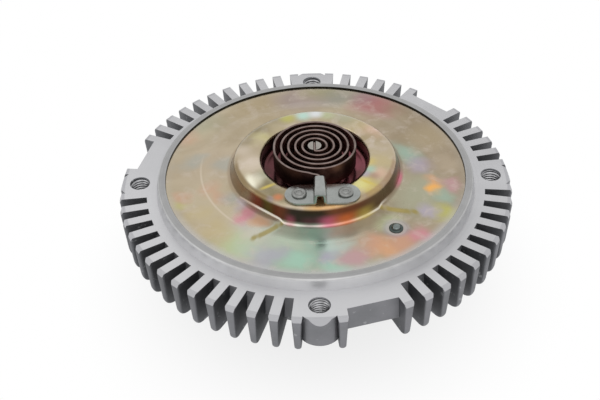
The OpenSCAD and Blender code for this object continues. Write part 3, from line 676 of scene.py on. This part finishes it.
def plug_halo(m, colour):
    """A pale ring round the plug."""
    far = m.vector("DISTANCE", m.flat, (PLUG_X * MM, PLUG_Y * MM, 0.0))
    colour = m.mix(m.ease_mm(far, 3.5, 7.0, 0.5, 0.0), colour, "A09AAA")
    return m.mix(m.ease_mm(far, 4.5, 4.1, 0.0, 0.3), colour, "C2BCB2")


def cover_material():
    """The cover's film, zone by zone, and its gloss."""
    m = CoverFilm()
    front = m.math("MULTIPLY_ADD", m.ease_mm(m.y, -8, -48), 0.6, 0.1)
    silver = m.product(m.ease_mm(m.from_axis, LIP_R - 4.5, LIP_R), front)
    colour = plate_film(m, silver)
    for zone in (ring_film, wall_film, well_film, crease_film, plug_halo):
        colour = zone(m, colour)

    rough = m.math("MULTIPLY_ADD", m.small, 0.12, 0.15)
    rough = m.math("MULTIPLY_ADD", silver, 0.1, rough)
    beside_foot = m.product(m.ease_mm(m.from_axis, 47, 40), m.ahead)
    rough = m.math("MULTIPLY_ADD", beside_foot, 0.3, rough)
    waves = m.noise(m.place, 95.0, 2.0, 0.5)
    fine = m.noise(m.place, 1200.0, 2.0, 0.6)
    height = m.math("MULTIPLY_ADD", fine, 0.03, waves)
    return m.set(Base_Color=colour, Roughness=rough, Normal=m.bump(height, 0.00012, 0.35))


def coil_material():
    """Bimetal strip: dark brown oxide on its sides, painted lighter as fill light in the gaps between turns
    and with painted shade on the outermost turn, and a bare sheared edge on top.
    """
    m = Material("bimetal", Metallic=1.0)
    _, _, up = m.split(m.normal)
    cloud = m.noise(m.place, 210.0, 4.0, 0.6)
    fine = m.noise(m.place, 1500.0, 2.0, 0.6)
    side = m.clouded(cloud, "74544B", "8C6A60", 0.35, 0.65)
    # Painted shade: the outermost turn's face darker
    side = m.mix(m.ease_mm(m.radius(), COIL_R - 0.3, COIL_R + 0.1), side, "4A332E")
    top = m.clouded(cloud, "71625D", "8F817C")
    return m.set(
        Base_Color=m.mix(m.ease(up, 0.5, 0.85), side, top),
        Roughness=m.math("MULTIPLY_ADD", cloud, 0.2, 0.3),
        Normal=m.bump(fine, 0.00002, 0.4),
    )


def rubber_material(name, code):
    """Rubber or plastic: a dull colour with pale clouds and fine grain."""
    m = Material(name)
    fine = m.noise(m.place, 1600.0, 3.0, 0.6)
    cloud = m.noise(m.place, 200.0, 3.0, 0.5)
    colour = srgb(code)
    pale = tuple(min(1.0, c * 1.6 + 0.01) for c in colour[:3]) + (1.0,)
    return m.set(
        Base_Color=m.mix(m.ease(cloud, 0.35, 0.7), colour, pale),
        Roughness=m.math("MULTIPLY_ADD", cloud, 0.2, 0.5),
        Normal=m.bump(fine, 0.00003, 0.5),
    )


CAST = housing_material()
LIP = lip_material()
CHROMATE = cover_material()
BIMETAL = coil_material()
ZINC = worn_metal("zinc_plate", "A1A4A1", 0.24, grain=1500.0, dent=0.000015, dark=0.8)
RIVET = worn_metal("rivet_steel", "9C9D9A", 0.3, grain=1500.0, dark=0.7)
PLUG = worn_metal("plug_steel", "8C9694", 0.28, grain=1800.0, dark=0.6)
# Painted shade: a darker copy of the plug's steel for its flange
PLUG_SHADE = worn_metal("plug_flange", "59625F", 0.34, grain=1800.0, dark=0.6)
THREAD = worn_metal("cut_thread", "ABABAD", 0.26, grain=1200.0, dark=0.7)
SPINDLE = turned_metal("spindle_steel", "A5A19B", 0.32)
SHAFT = turned_metal("shaft_steel", "77787A", 0.38)
ROTOR = turned_metal("rotor_aluminium", "B4B6B9", 0.38)
BEARING = turned_metal("bearing_steel", "A7A8AA", 0.22, pitch=3400.0)
SHIELD = worn_metal("shield_steel", "8D8E90", 0.35)
SPRING = worn_metal("spring_steel", "4A4B4E", 0.36)
BRONZE = worn_metal("bush_bronze", "A98552", 0.34)
CAGE = rubber_material("cage_plastic", "B9A27A")
RUBBER = rubber_material("seal_rubber", "141414")

FINISH = {
    "housing": CAST,
    "housing_lip": LIP,
    "rotor": ROTOR,
    "cover_plate": CHROMATE,
    "coil_bracket": ZINC,
    "separator_plate": ZINC,
    "wiper": ZINC,
    "valve_arm": ZINC,
    "bracket_rivets": RIVET,
    "wiper_rivets": RIVET,
    "fill_plug": PLUG,
    "bimetal_coil": BIMETAL,
    "input_shaft": SHAFT,
    "control_shaft": SPINDLE,
    "bearing_inner_ring": BEARING,
    "bearing_outer_ring": BEARING,
    "bearing_balls": BEARING,
    "bearing_front_shield": SHIELD,
    "bearing_rear_shield": SHIELD,
    "bearing_snap_ring": SPRING,
    "rotor_retaining_ring": SPRING,
    "bearing_cage": CAGE,
    "shaft_bush": BRONZE,
    "cover_seal": RUBBER,
    "control_shaft_seal": RUBBER,
}
for node_name, finish in FINISH.items():
    data = NODES[node_name].data
    data.materials.clear()
    data.materials.append(finish)


def in_scene(name, data):
    """A new object in the scene."""
    made = bpy.data.objects.new(name, data)
    bpy.context.scene.collection.objects.link(made)
    return made


def finished(work, name):
    """The mesh that was worked on."""
    mesh = bpy.data.meshes.new(name)
    work.to_mesh(mesh)
    work.free()
    return mesh


def cad_copy(node, seam):
    """A CAD node's mesh to work on, without doubled points and seams of less than some degrees."""
    work = bmesh.new()
    work.from_mesh(NODES[node].data)
    bmesh.ops.remove_doubles(work, verts=work.verts, dist=1e-6)
    bmesh.ops.dissolve_limit(work, angle_limit=math.radians(seam), verts=work.verts, edges=work.edges)
    return work


def new_piece(name, mesh, body, material, replaces, crisp):
    """Adds a mesh as a piece that rides on a body; edges of more than crisp degrees aren't smoothed."""
    mesh.materials.append(material)
    piece = in_scene(name, mesh)
    mesh.shade_smooth()
    mesh.set_sharp_from_angle(angle=math.radians(crisp))
    if body:
        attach(piece, body)
    if replaces:
        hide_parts(replaces)
    return piece


def grid_mesh(name, rows, close_rows, close_columns):
    """A quad mesh through rows of points; either direction may close on itself."""
    points = np.asarray(rows, float)
    count, width = points.shape[:2]
    faces = []
    for i in range(count if close_rows else count - 1):
        for j in range(width if close_columns else width - 1):
            a, b = i * width + j, i * width + (j + 1) % width
            c, d = (i + 1) % count * width + (j + 1) % width, (i + 1) % count * width + j
            faces.append((a, b, c, d))
    if not close_rows:
        faces.append(tuple(reversed(range(width))))
        faces.append(tuple((count - 1) * width + j for j in range(width)))
    mesh = bpy.data.meshes.new(name)
    mesh.from_pydata([tuple(p) for p in points.reshape(-1, 3) * MM], [], faces)
    work = bmesh.new()
    work.from_mesh(mesh)
    bmesh.ops.recalc_face_normals(work, faces=work.faces)
    work.to_mesh(mesh)
    work.free()
    return mesh


# Half the angle, in radians, above which a corner is too open to be rounded
NEARLY_STRAIGHT = 1.569


def fillet(path, steps=6):
    """A path of (x, y, corner radius, points along the straight before it) with its corners rounded.

    Gives its points and the corner that each belongs to.
    """
    out = []
    for i, (x, y, r, _) in enumerate(path):
        c = np.array((x, y))
        if r <= 0:
            out.append([c])
            continue
        u = np.array(path[i - 1][:2]) - c
        v = np.array(path[i + 1][:2]) - c
        u, v = u / np.linalg.norm(u), v / np.linalg.norm(v)
        half = math.acos(max(-1.0, min(1.0, float(u @ v)))) / 2
        if half > NEARLY_STRAIGHT:
            out.append([c + u * 0.2 * (1 - 2 * k / steps) for k in range(steps + 1)])
            continue
        reach = r / math.tan(half)
        middle = c + (u + v) / np.linalg.norm(u + v) * r / math.sin(half)
        start, end = c + u * reach - middle, c + v * reach - middle
        a0 = math.atan2(start[1], start[0])
        sweep = (math.atan2(end[1], end[0]) - a0 + math.pi) % (2 * math.pi) - math.pi
        angles = [a0 + sweep * k / steps for k in range(steps + 1)]
        out.append([middle + r * np.array((math.cos(a), math.sin(a))) for a in angles])
    points, corners = list(out[0]), [0]
    for i, group in enumerate(out[1:], 1):
        last, extra = points[-1], path[i][3]
        points += [last + (group[0] - last) * k / (extra + 1) for k in range(1, extra + 1)]
        corners += [-1] * extra + [i] * len(group)
        points.extend(group)
    return np.array(points), np.array(corners)


def smooth(x, low, high):
    """A smooth step of x from low to high, from 0 to 1."""
    t = min(1.0, max(0.0, (x - low) / (high - low)))
    return t * t * (3 - 2 * t)


def turn_from(angle, centre):
    """The turn in degrees from one direction to another, from -180 to 180."""
    return (angle - centre + 540) % 360 - 180


def land_share(radius, angle):
    """1 on the raised land, 0 on the pressed panel."""
    half = PANEL_HALF + (radius - DOME_R) * PANEL_SPLAY
    return smooth(abs(turn_from(angle, PANEL_MID)), half - PANEL_FADE, half + PANEL_FADE)


def foot_radius(angle):
    """The raised ring's foot, cut straight beside the panel's two ends."""
    for middle, half in FOOT_CUTS:
        away = turn_from(angle, middle)
        if abs(away) < half:
            return DOME_R * math.cos(math.radians(half)) / math.cos(math.radians(away))
    return DOME_R


def seat_end(end, radius):
    """The turn from the seat's middle to one of its ends."""
    turn, growth, at = end
    return turn + growth * (radius - at)


def seat_share(radius, angle):
    """1 on the flat seat under the bracket; past a crease at each end the ring slopes up from it."""
    away = turn_from(angle, SEAT_MID)
    past = max(-away - seat_end(SEAT_LEFT, radius), away - seat_end(SEAT_RIGHT, radius))
    if past <= 0:
        return 1.0
    return max(0.0, 1 - 0.25 * smooth(past, 0, 1.6) - 0.75 * min(1.0, past / SEAT_RISE))


def cover_profile(angle):
    """The cover's upper face at one angle, from its edge to the bush, and where the ring's foot is on it."""
    def level(r):
        return COVER_Z + STEP_H * land_share(r, angle)

    def crown(r, fall):
        seat = seat_share(r, angle)
        ripple = 0.06 * math.sin(math.radians(5 * angle + 40)) + 0.05 * math.sin(math.radians(9 * angle))
        return DOME_TOP - 0.1 - SEAT_DROP * seat + (ripple - fall) * (1 - seat)

    foot = foot_radius(angle)
    seat = seat_share(SHOULDER_R, angle)
    behind = smooth(math.sin(math.radians(angle)), -0.2, 0.9)
    slope = (DOME_SLOPE - 0.4 + 1.4 * behind) * (1 - seat) + DOME_LEAN * seat
    step_in = LAND_R - STEP_RUN
    mouth = WELL_R - 0.4
    plate = [
        (COVER_R, COVER_Z, 0, 0),
        (LAND_R + STEP_RUN, COVER_Z, 8.0, 3),
        (step_in, level(step_in), 5.0, 1),
        *((r, level(r) + FOOT_RISE * (48 - r) / 20, 0, 0) for r in np.arange(45.2, 40.2, -0.6)),
    ]
    ring = [
        (foot, level(FOOT_R) + FOOT_RISE, 1.3, 0),
        (DOME_R - slope, crown(SHOULDER_R, DOME_CROWN), 2.0 + (0.4 + 2.6 * behind) * (1 - seat), 3),
        (CREST_R, crown(CREST_R, 0.1), 12.0, 1),
        (mouth, crown(WELL_R, 0.0), 2.8, 1),
        (mouth - WELL_LEAN, WELL_FLOOR, 1.8, 3),
        (BUSH_R, WELL_FLOOR, 0, 2),
    ]
    points, corners = fillet(plate + ring)
    here = np.flatnonzero(corners == len(plate))
    mark = np.zeros(len(points))
    mark[here[2:5]] = 1.0
    return points, mark


def under_face(path, thickness):
    """The other face of the sheet whose upper face is path."""
    ahead = np.gradient(path, axis=0)
    ahead /= np.linalg.norm(ahead, axis=1)[:, None]
    return path + np.stack((-ahead[:, 1], ahead[:, 0]), axis=1) * thickness


def cut_holes(mesh, holes):
    """The mesh with round upright holes cut through it: each is x, y, radius, low, high in millimetres."""
    plate = in_scene("uncut", mesh)
    tools = []
    for x, y, r, low, high in holes:
        work = bmesh.new()
        at = Matrix.Translation((x * MM, y * MM, (low + high) / 2 * MM))
        bmesh.ops.create_cone(work, cap_ends=True, segments=48, radius1=r * MM, radius2=r * MM,
                              depth=(high - low) * MM, matrix=at)
        tool = in_scene("tool", finished(work, "tool"))
        cut = plate.modifiers.new("hole", "BOOLEAN")
        cut.operation, cut.solver, cut.object = "DIFFERENCE", "EXACT", tool
        tools.append(tool)
    seen = plate.evaluated_get(bpy.context.evaluated_depsgraph_get())
    done = bpy.data.meshes.new_from_object(seen)
    for o in (plate, *tools):
        bpy.data.objects.remove(o)
    return done


def cover_angles():
    """Directions to draw the cover's profile at: closer together at the panel's two ends."""
    angle, out = -180.0, []
    while angle < 180 - 1e-6:
        out.append(angle)
        near = abs(abs(turn_from(angle, PANEL_MID)) - PANEL_HALF - 4.5) < 9
        angle += 0.25 if near else 0.75
    return out


def build_cover():
    """The pressed cover, with soft steps, straight creases and a flat seat."""
    columns, foot, fold = [], [], []
    for angle in cover_angles():
        upper, mark = cover_profile(angle)
        loop = np.concatenate((upper, under_face(upper, COVER_T)[::-1]))
        c, s = math.cos(math.radians(angle)), math.sin(math.radians(angle))
        columns.append(np.stack((loop[:, 0] * c, loop[:, 0] * s, loop[:, 1]), axis=1))
        foot += [*mark, *mark[::-1]]
        for r, _ in loop:
            share = land_share(r, angle) if DOME_R < r < LAND_R else 0.0
            fold.append(4 * share * (1 - share))
    mesh = grid_mesh("cover", columns, True, True)
    for name, values in (("foot", foot), ("fold", fold)):
        mesh.attributes.new(name, "FLOAT", "POINT").data.foreach_set("value", np.array(values, np.float32))
    mesh = cut_holes(mesh, [(PLUG_X, PLUG_Y, PLUG_SHANK + FIT, COVER_Z - 4, COVER_Z + 4)])
    mesh.name = "cover"
    return new_piece("cover", mesh, "fan_housing", CHROMATE, "cover_plate", 40)


def lathe(name, profile, centre, segments=64):
    """A turned solid from (radius, height) points that start and end on its axis."""
    ring = [(r, z) for r, z in profile if r > 1e-6]
    work = bmesh.new()
    columns = []
    for k in range(segments):
        a = 2 * math.pi * k / segments
        columns.append([
            work.verts.new(((centre[0] + r * math.cos(a)) * MM, (centre[1] + r * math.sin(a)) * MM, z * MM))
            for r, z in ring
        ])
    ends = [work.verts.new((centre[0] * MM, centre[1] * MM, profile[i][1] * MM)) for i in (0, -1)]
    for k in range(segments):
        a, b = columns[k], columns[(k + 1) % segments]
        for j in range(len(ring) - 1):
            work.faces.new((a[j], b[j], b[j + 1], a[j + 1]))
        work.faces.new((ends[0], b[0], a[0]))
        work.faces.new((ends[1], a[-1], b[-1]))
    bmesh.ops.recalc_face_normals(work, faces=work.faces)
    return finished(work, name)


def joined(name, meshes):
    """Several meshes as one."""
    work = bmesh.new()
    for mesh in meshes:
        work.from_mesh(mesh)
        bpy.data.meshes.remove(mesh)
    return finished(work, name)


def build_rivets():
    """Rivet heads with a rounded edge and a ring pressed into their tops."""
    low = SEAT_TOP + FIT
    head = SEAT_TOP + BRACKET_T + 2 * FIT
    profile = [
        (0, low), (1.5, low), (1.5, head),
        (3.0, head), (3.1, head + 0.12), (3.06, head + 0.5), (2.86, head + 0.86), (2.5, head + 1.05),
        (2.1, head + 1.08), (1.9, head + 0.98), (1.75, head + 0.78), (1.5, head + 0.7),
        (1.25, head + 0.78), (1.1, head + 0.98), (0.9, head + 1.08), (0, head + 1.12),
    ]
    mesh = joined("rivets", [lathe("rivet", profile, (x, RIVET_Y)) for x in RIVET_X])
    return new_piece("rivets", mesh, "fan_housing", RIVET, "bracket_rivets", 50)


def build_plug():
    """The filler plug: a domed head over the cover, a shank and a spread tail."""
    under = COVER_Z - COVER_T - FIT
    base = COVER_Z + FIT
    dome = [(0.25 + 1.5 * math.cos(t), base + 0.75 + 0.8 * math.sin(t)) for t in np.linspace(0, 1.2, 7)]
    profile = [
        (0, under - 0.8), (2.3, under - 0.8), (2.3, under), (PLUG_SHANK, under), (PLUG_SHANK, base),
        (2.9, base), (2.9, base + 0.25), (2.6, base + 0.5), (2.2, base + 0.55), (1.9, base + 0.5),
        *dome, (0.4, base + 1.5), (0, base + 1.46),
    ]
    mesh = lathe("plug", profile, (PLUG_X, PLUG_Y))
    piece = new_piece("plug", mesh, "fan_housing", PLUG, "fill_plug", 50)
    # The lower part of the plug takes the darker copy, a painted shade round its base
    mesh.materials.append(PLUG_SHADE)
    for face in mesh.polygons:
        face.material_index = int(face.center.z < (base + 0.7) * MM)
    return piece


def arc(x, y, radius, start, end):
    """Points along an arc, without its first one; angles in degrees."""
    steps = max(8, int(abs(end - start) / 180 * max(16, radius * 4)))
    turns = [math.radians(start + (end - start) * i / steps) for i in range(1, steps + 1)]
    return [(x + radius * math.cos(a), y + radius * math.sin(a)) for a in turns]


def coil_path():
    """The strip's middle line in millimetres, from its end in the bracket to its end in the shaft."""
    step = COIL_PITCH / 2
    corner = -COIL_R - LEAD_DROP - TAIL_BEND
    points = [(TAIL_BEND, corner - TAIL_LEN * t) for t in np.linspace(1, 0, 8)]
    points += arc(0, corner, TAIL_BEND, 0, 90)
    points += arc(0, -LEAD_DROP, COIL_R, 270, 180)
    points.append((-COIL_R, -LEAD_DROP / 2))
    points.append((-COIL_R, 0.0))
    for k in range(HALF_TURNS):
        ahead = k % 2
        points += arc(ahead * step, 0, COIL_R - k * step, 180 + 180 * ahead, 180 * ahead)
    last = COIL_R - HALF_TURNS * step
    points += arc(step, 0, last, 360, 270)
    points.append((INNER_BEND, -last))
    points += arc(INNER_BEND, INNER_BEND - last, INNER_BEND, 270, 180)
    points += [(0.0, y) for y in np.linspace(INNER_BEND - last, 0.7 * CONTROL_R, 6)[1:]]
    return np.array(points)


def build_coil():
    """The wound strip, which winds up between the housing and the control shaft."""
    path = coil_path()
    along = np.gradient(path, axis=0)
    along /= np.linalg.norm(along, axis=1)[:, None]
    side = np.stack((-along[:, 1], along[:, 0]), axis=1)
    lengths = np.concatenate(([0], np.cumsum(np.linalg.norm(np.diff(path, axis=0), axis=1))))
    tail = TAIL_LEN + TAIL_BEND * math.pi / 2
    half, soft = STRIP_T / 2, STRIP_SOFT
    rows = []
    for point, across, length in zip(path, side, lengths):
        cut = smooth(length, tail + 4.0, tail - 1.0)
        low = COIL_TOP - STRIP_W + cut * (SEAT_TOP + TAIL_GAP - COIL_TOP + STRIP_W)
        high = COIL_TOP - cut * (COIL_TOP - (FOLD_TOP - BRACKET_T - TAIL_GAP))
        section = [
            (-half, low + soft), (-half + soft, low), (half - soft, low), (half, low + soft),
            (half, high - soft), (half - soft, high), (-half + soft, high), (-half, high - soft),
        ]
        rows.append([(*(point + across * w), z) for w, z in section])
    mesh = grid_mesh("coil", rows, False, True)
    piece = new_piece("coil", mesh, None, BIMETAL, "bimetal_coil", 25)
    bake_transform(piece)
    return piece


def build_threads():
    """The thread's ridges in the four fan holes."""
    turns = (BOSS_H - THREAD_SHORT) / THREAD_PITCH
    steps = int(turns * 40)
    meshes = []
    for k in range(4):
        rows = []
        for i in range(steps + 1):
            t = i / steps
            a = 2 * math.pi * turns * t
            grow = min(1.0, 12 * t, 12 * (1 - t)) * 0.97 + 0.03
            z = RIM_Z - THREAD_START - THREAD_PITCH * turns * t
            section = [(THREAD_R + out * grow, z + rise * grow) for out, rise in THREAD_SECTION]
            rows.append([(r * math.cos(a), r * math.sin(a), height) for r, height in section])
        spin = Matrix.Rotation(k * math.pi / 2, 4, "Z") @ Matrix.Translation((FAN_PCD_R * MM, 0, 0))
        mesh = grid_mesh("thread", rows, False, True)
        mesh.transform(spin)
        meshes.append(mesh)
    mesh = joined("threads", meshes)
    return new_piece("threads", mesh, "fan_housing", THREAD, None, 40)


def softened(node, name, width_mm, material):
    """A copy of a CAD node with its sharp edges rounded a little, which stands for the node."""
    body = NODES[node]["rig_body"]
    work = cad_copy(node, 0.6)
    edges = [e for e in work.edges if e.is_manifold and e.calc_face_angle() > math.radians(38)]
    bmesh.ops.bevel(work, geom=edges, offset=width_mm * MM, offset_type="OFFSET", segments=2, profile=0.5,
                    affect="EDGES", clamp_overlap=True)
    return new_piece(name, finished(work, name), body, material, node, 32)


def on_boss(point):
    """True for a point on one of the fan bosses, which stand on the two axes."""
    near, far = sorted(abs(c) for c in point.xy)
    return math.hypot(far - FAN_PCD_R * MM, near) < BOSS_REACH * MM


def nose_rows():
    """Sections of a fin's end in millimetres, from where its lower corner begins out to the front."""
    begin = FIN_TIP - FIN_CORNER
    steep = BEVEL_H / BEVEL_W
    outs = [begin, begin + 0.8, begin + 1.5, begin + 2.1, begin + 2.6]
    outs += [FIN_TIP - NOSE + NOSE * math.sin(math.radians(a)) for a in (0, 12, 26, 40, 55, 72, 90)]
    rows = []
    for out in outs:
        narrow = NOSE - math.sqrt(NOSE * NOSE - max(0.0, out - FIN_TIP + NOSE) ** 2)
        rise = FIN_CORNER - math.sqrt(max(0.0, FIN_CORNER ** 2 - (out - begin) ** 2))
        lean = (out - begin) / FIN_CORNER * BEVEL_W / (RIM_Z - BEVEL_H - FIN_Z)
        top = min(RIM_Z, (RIM_Z - steep * (out - lean * FIN_Z - FIN_TIP)) / (1 + steep * lean))
        middle = FIN_Z + FIN_LOW + rise
        round_r = FIN_LOW + FIN_DRAFT * rise - narrow
        levels = [middle + (top - middle) * k / 5 for k in range(5, 0, -1)]
        half = [(z, FIN_LOW + FIN_DRAFT * (z - FIN_Z - FIN_LOW) - narrow) for z in levels]
        turns = [k * math.pi / 12 for k in range(6)]
        half += [(middle - round_r * math.sin(t), round_r * math.cos(t)) for t in turns]
        loop = [(-v, z) for z, v in half] + [(0.0, middle - round_r)] + [(v, z) for z, v in reversed(half)]
        rows.append([(out + lean * (z - FIN_Z), v, z) for v, z in loop])
    return rows


def add_nose(work, rows, turn):
    """One fin's rounded end, turned to its place."""
    c, s = math.cos(turn), math.sin(turn)
    points = [
        [work.verts.new(Vector((u * c - v * s, u * s + v * c, z)) * MM) for u, v, z in row]
        for row in rows
    ]
    last = len(points[0]) - 1
    for one, two in zip(points, points[1:]):
        for k in range(last):
            work.faces.new((one[k], one[k + 1], two[k + 1], two[k]))
        work.faces.new((one[0], two[0], two[last], one[last]))
    front = points[-1]
    for k in range(last // 2 - 1):
        work.faces.new((front[k], front[k + 1], front[last - k - 1], front[last - k]))
    k = last // 2 - 1
    work.faces.new((front[k], front[k + 1], front[k + 2]))


def build_housing():
    """A copy of the casting whose fins have round ends, which stands for it."""
    work = cad_copy("housing", 0.5)
    begin = (FIN_TIP - FIN_CORNER) * MM
    rows = nose_rows()
    for place in range(FIN_PLACES):
        turn = 2 * math.pi * place / FIN_PLACES
        out = Vector((math.cos(turn), math.sin(turn), 0))
        side = Vector((-out.y, out.x, 0))
        ends = [
            v for v in work.verts
            if v.co.dot(out) > begin and abs(v.co.dot(side)) < NOSE_HALF * MM
            and v.co.z > (FIN_Z - 1) * MM and not on_boss(v.co)
        ]
        if not any(v.co.z < (FIN_Z + FIN_CORNER) * MM for v in ends):
            continue
        for v in ends:
            v.co += out * (begin - v.co.dot(out))
        add_nose(work, rows, turn)
    # The bevel's edges were turned, so they stay crisp
    work.normal_update()
    work.edges.index_update()
    turned = [
        e.index for e in work.edges
        if e.is_manifold and 0.25 < abs(e.link_faces[0].normal.z - e.link_faces[1].normal.z) < 0.45
        and min(v.co.z for v in e.verts) > (RIM_Z - TURNED_DEPTH) * MM
        and math.hypot(*e.verts[0].co.xy) > TURNED_R * MM
    ]
    mesh = finished(work, "casting")
    piece = new_piece("casting", mesh, "fan_housing", CAST, "housing", 32)
    for index in turned:
        mesh.edges[index].use_edge_sharp = True
    return piece


build_housing()
build_cover()
build_rivets()
build_plug()
build_coil()
build_threads()
softened("coil_bracket", "bracket", 0.16, ZINC)
softened("control_shaft", "spindle", 0.12, SPINDLE)


def plain_floor():
    """A pale floor that keeps the part's shadow and fades to white away from it."""
    mesh = bpy.data.meshes.new("floor")
    size = 6.0
    low = -0.0002
    corners = [(-size, -size, low), (size, -size, low), (size, size, low), (-size, size, low)]
    mesh.from_pydata(corners, [], [(0, 1, 2, 3)])
    floor = in_scene("floor", mesh)
    m = Material("floor", Roughness=0.9, Base_Color=(0.86, 0.86, 0.86, 1.0), Specular_IOR_Level=0.0)
    white = m.node("ShaderNodeEmission")
    rays = m.node("ShaderNodeLightPath").outputs
    seen = m.math("MAXIMUM", rays["Is Camera Ray"], rays["Is Glossy Ray"])
    seen = m.math("MAXIMUM", seen, rays["Is Transmission Ray"])
    away = m.ease(m.radius(), 0.04, 0.12, 0.8, 1.0)
    both = m.node("ShaderNodeMixShader")
    m.put(both.inputs[0], m.math("MULTIPLY", seen, away))
    m.put(both.inputs[1], m.bsdf.outputs[0])
    m.put(both.inputs[2], white.outputs[0])
    m.put(m.out.inputs[0], both.outputs[0])
    mesh.materials.append(m.mat)


def soft_light(name, place, size, power):
    """A round lamp that looks at the part's middle."""
    lamp = bpy.data.lights.new(name, "AREA")
    lamp.shape = "DISK"
    lamp.size = size
    lamp.energy = power
    stand = in_scene(name, lamp)
    stand.location = place
    stand.rotation_mode = "QUATERNION"
    stand.rotation_quaternion = (AIM - Vector(place)).to_track_quat("-Z", "Y")


def white_world():
    """Surroundings that look white and light the part less than that."""
    world = bpy.data.worlds.new("studio")
    world.use_nodes = True
    nodes, links = world.node_tree.nodes, world.node_tree.links
    nodes.clear()
    rays = nodes.new("ShaderNodeLightPath").outputs
    seen = rays["Is Camera Ray"]
    for ray in ("Is Glossy Ray", "Is Transmission Ray"):
        either = nodes.new("ShaderNodeMath")
        either.operation = "MAXIMUM"
        links.new(seen, either.inputs[0])
        links.new(rays[ray], either.inputs[1])
        seen = either.outputs[0]
    level = nodes.new("ShaderNodeMapRange")
    level.inputs["To Min"].default_value = SURROUND
    level.inputs["To Max"].default_value = 1.0
    links.new(seen, level.inputs["Value"])
    back = nodes.new("ShaderNodeBackground")
    back.inputs["Color"].default_value = (1, 1, 1, 1)
    links.new(level.outputs[0], back.inputs["Strength"])
    out = nodes.new("ShaderNodeOutputWorld")
    links.new(back.outputs[0], out.inputs[0])
    bpy.context.scene.world = world


def place_camera():
    """The photograph's camera."""
    eye = Vector((0, -math.cos(ELEVATION), math.sin(ELEVATION))) * DISTANCE
    ahead = -eye.normalized()
    right = Vector((1, 0, 0))
    ahead = (ahead + PAN * right + TILT * right.cross(ahead)).normalized()
    right = ahead.cross(Vector((0, 0, 1))).normalized()
    up = right.cross(ahead)
    across = math.cos(ROLL) * right + math.sin(ROLL) * up
    upward = math.cos(ROLL) * up - math.sin(ROLL) * right
    turned = Matrix((across, upward, -ahead)).transposed().to_4x4()
    lens = bpy.data.cameras.new("camera")
    lens.lens = LENS
    lens.sensor_width = 36.0
    lens.sensor_fit = "HORIZONTAL"
    lens.clip_start, lens.clip_end = 0.01, 50.0
    camera = in_scene("camera", lens)
    centre = Matrix.Translation((0, 0, RIM_Z * MM)) @ Matrix.Rotation(TURN, 4, "Z")
    camera.matrix_world = centre @ Matrix.Translation(eye) @ turned
    bpy.context.scene.camera = camera


plain_floor()
white_world()
for lamp_name, (place, size, power) in LAMPS.items():
    soft_light(lamp_name, place, size, power)
place_camera()
bpy.context.scene.view_settings.view_transform = "Standard"
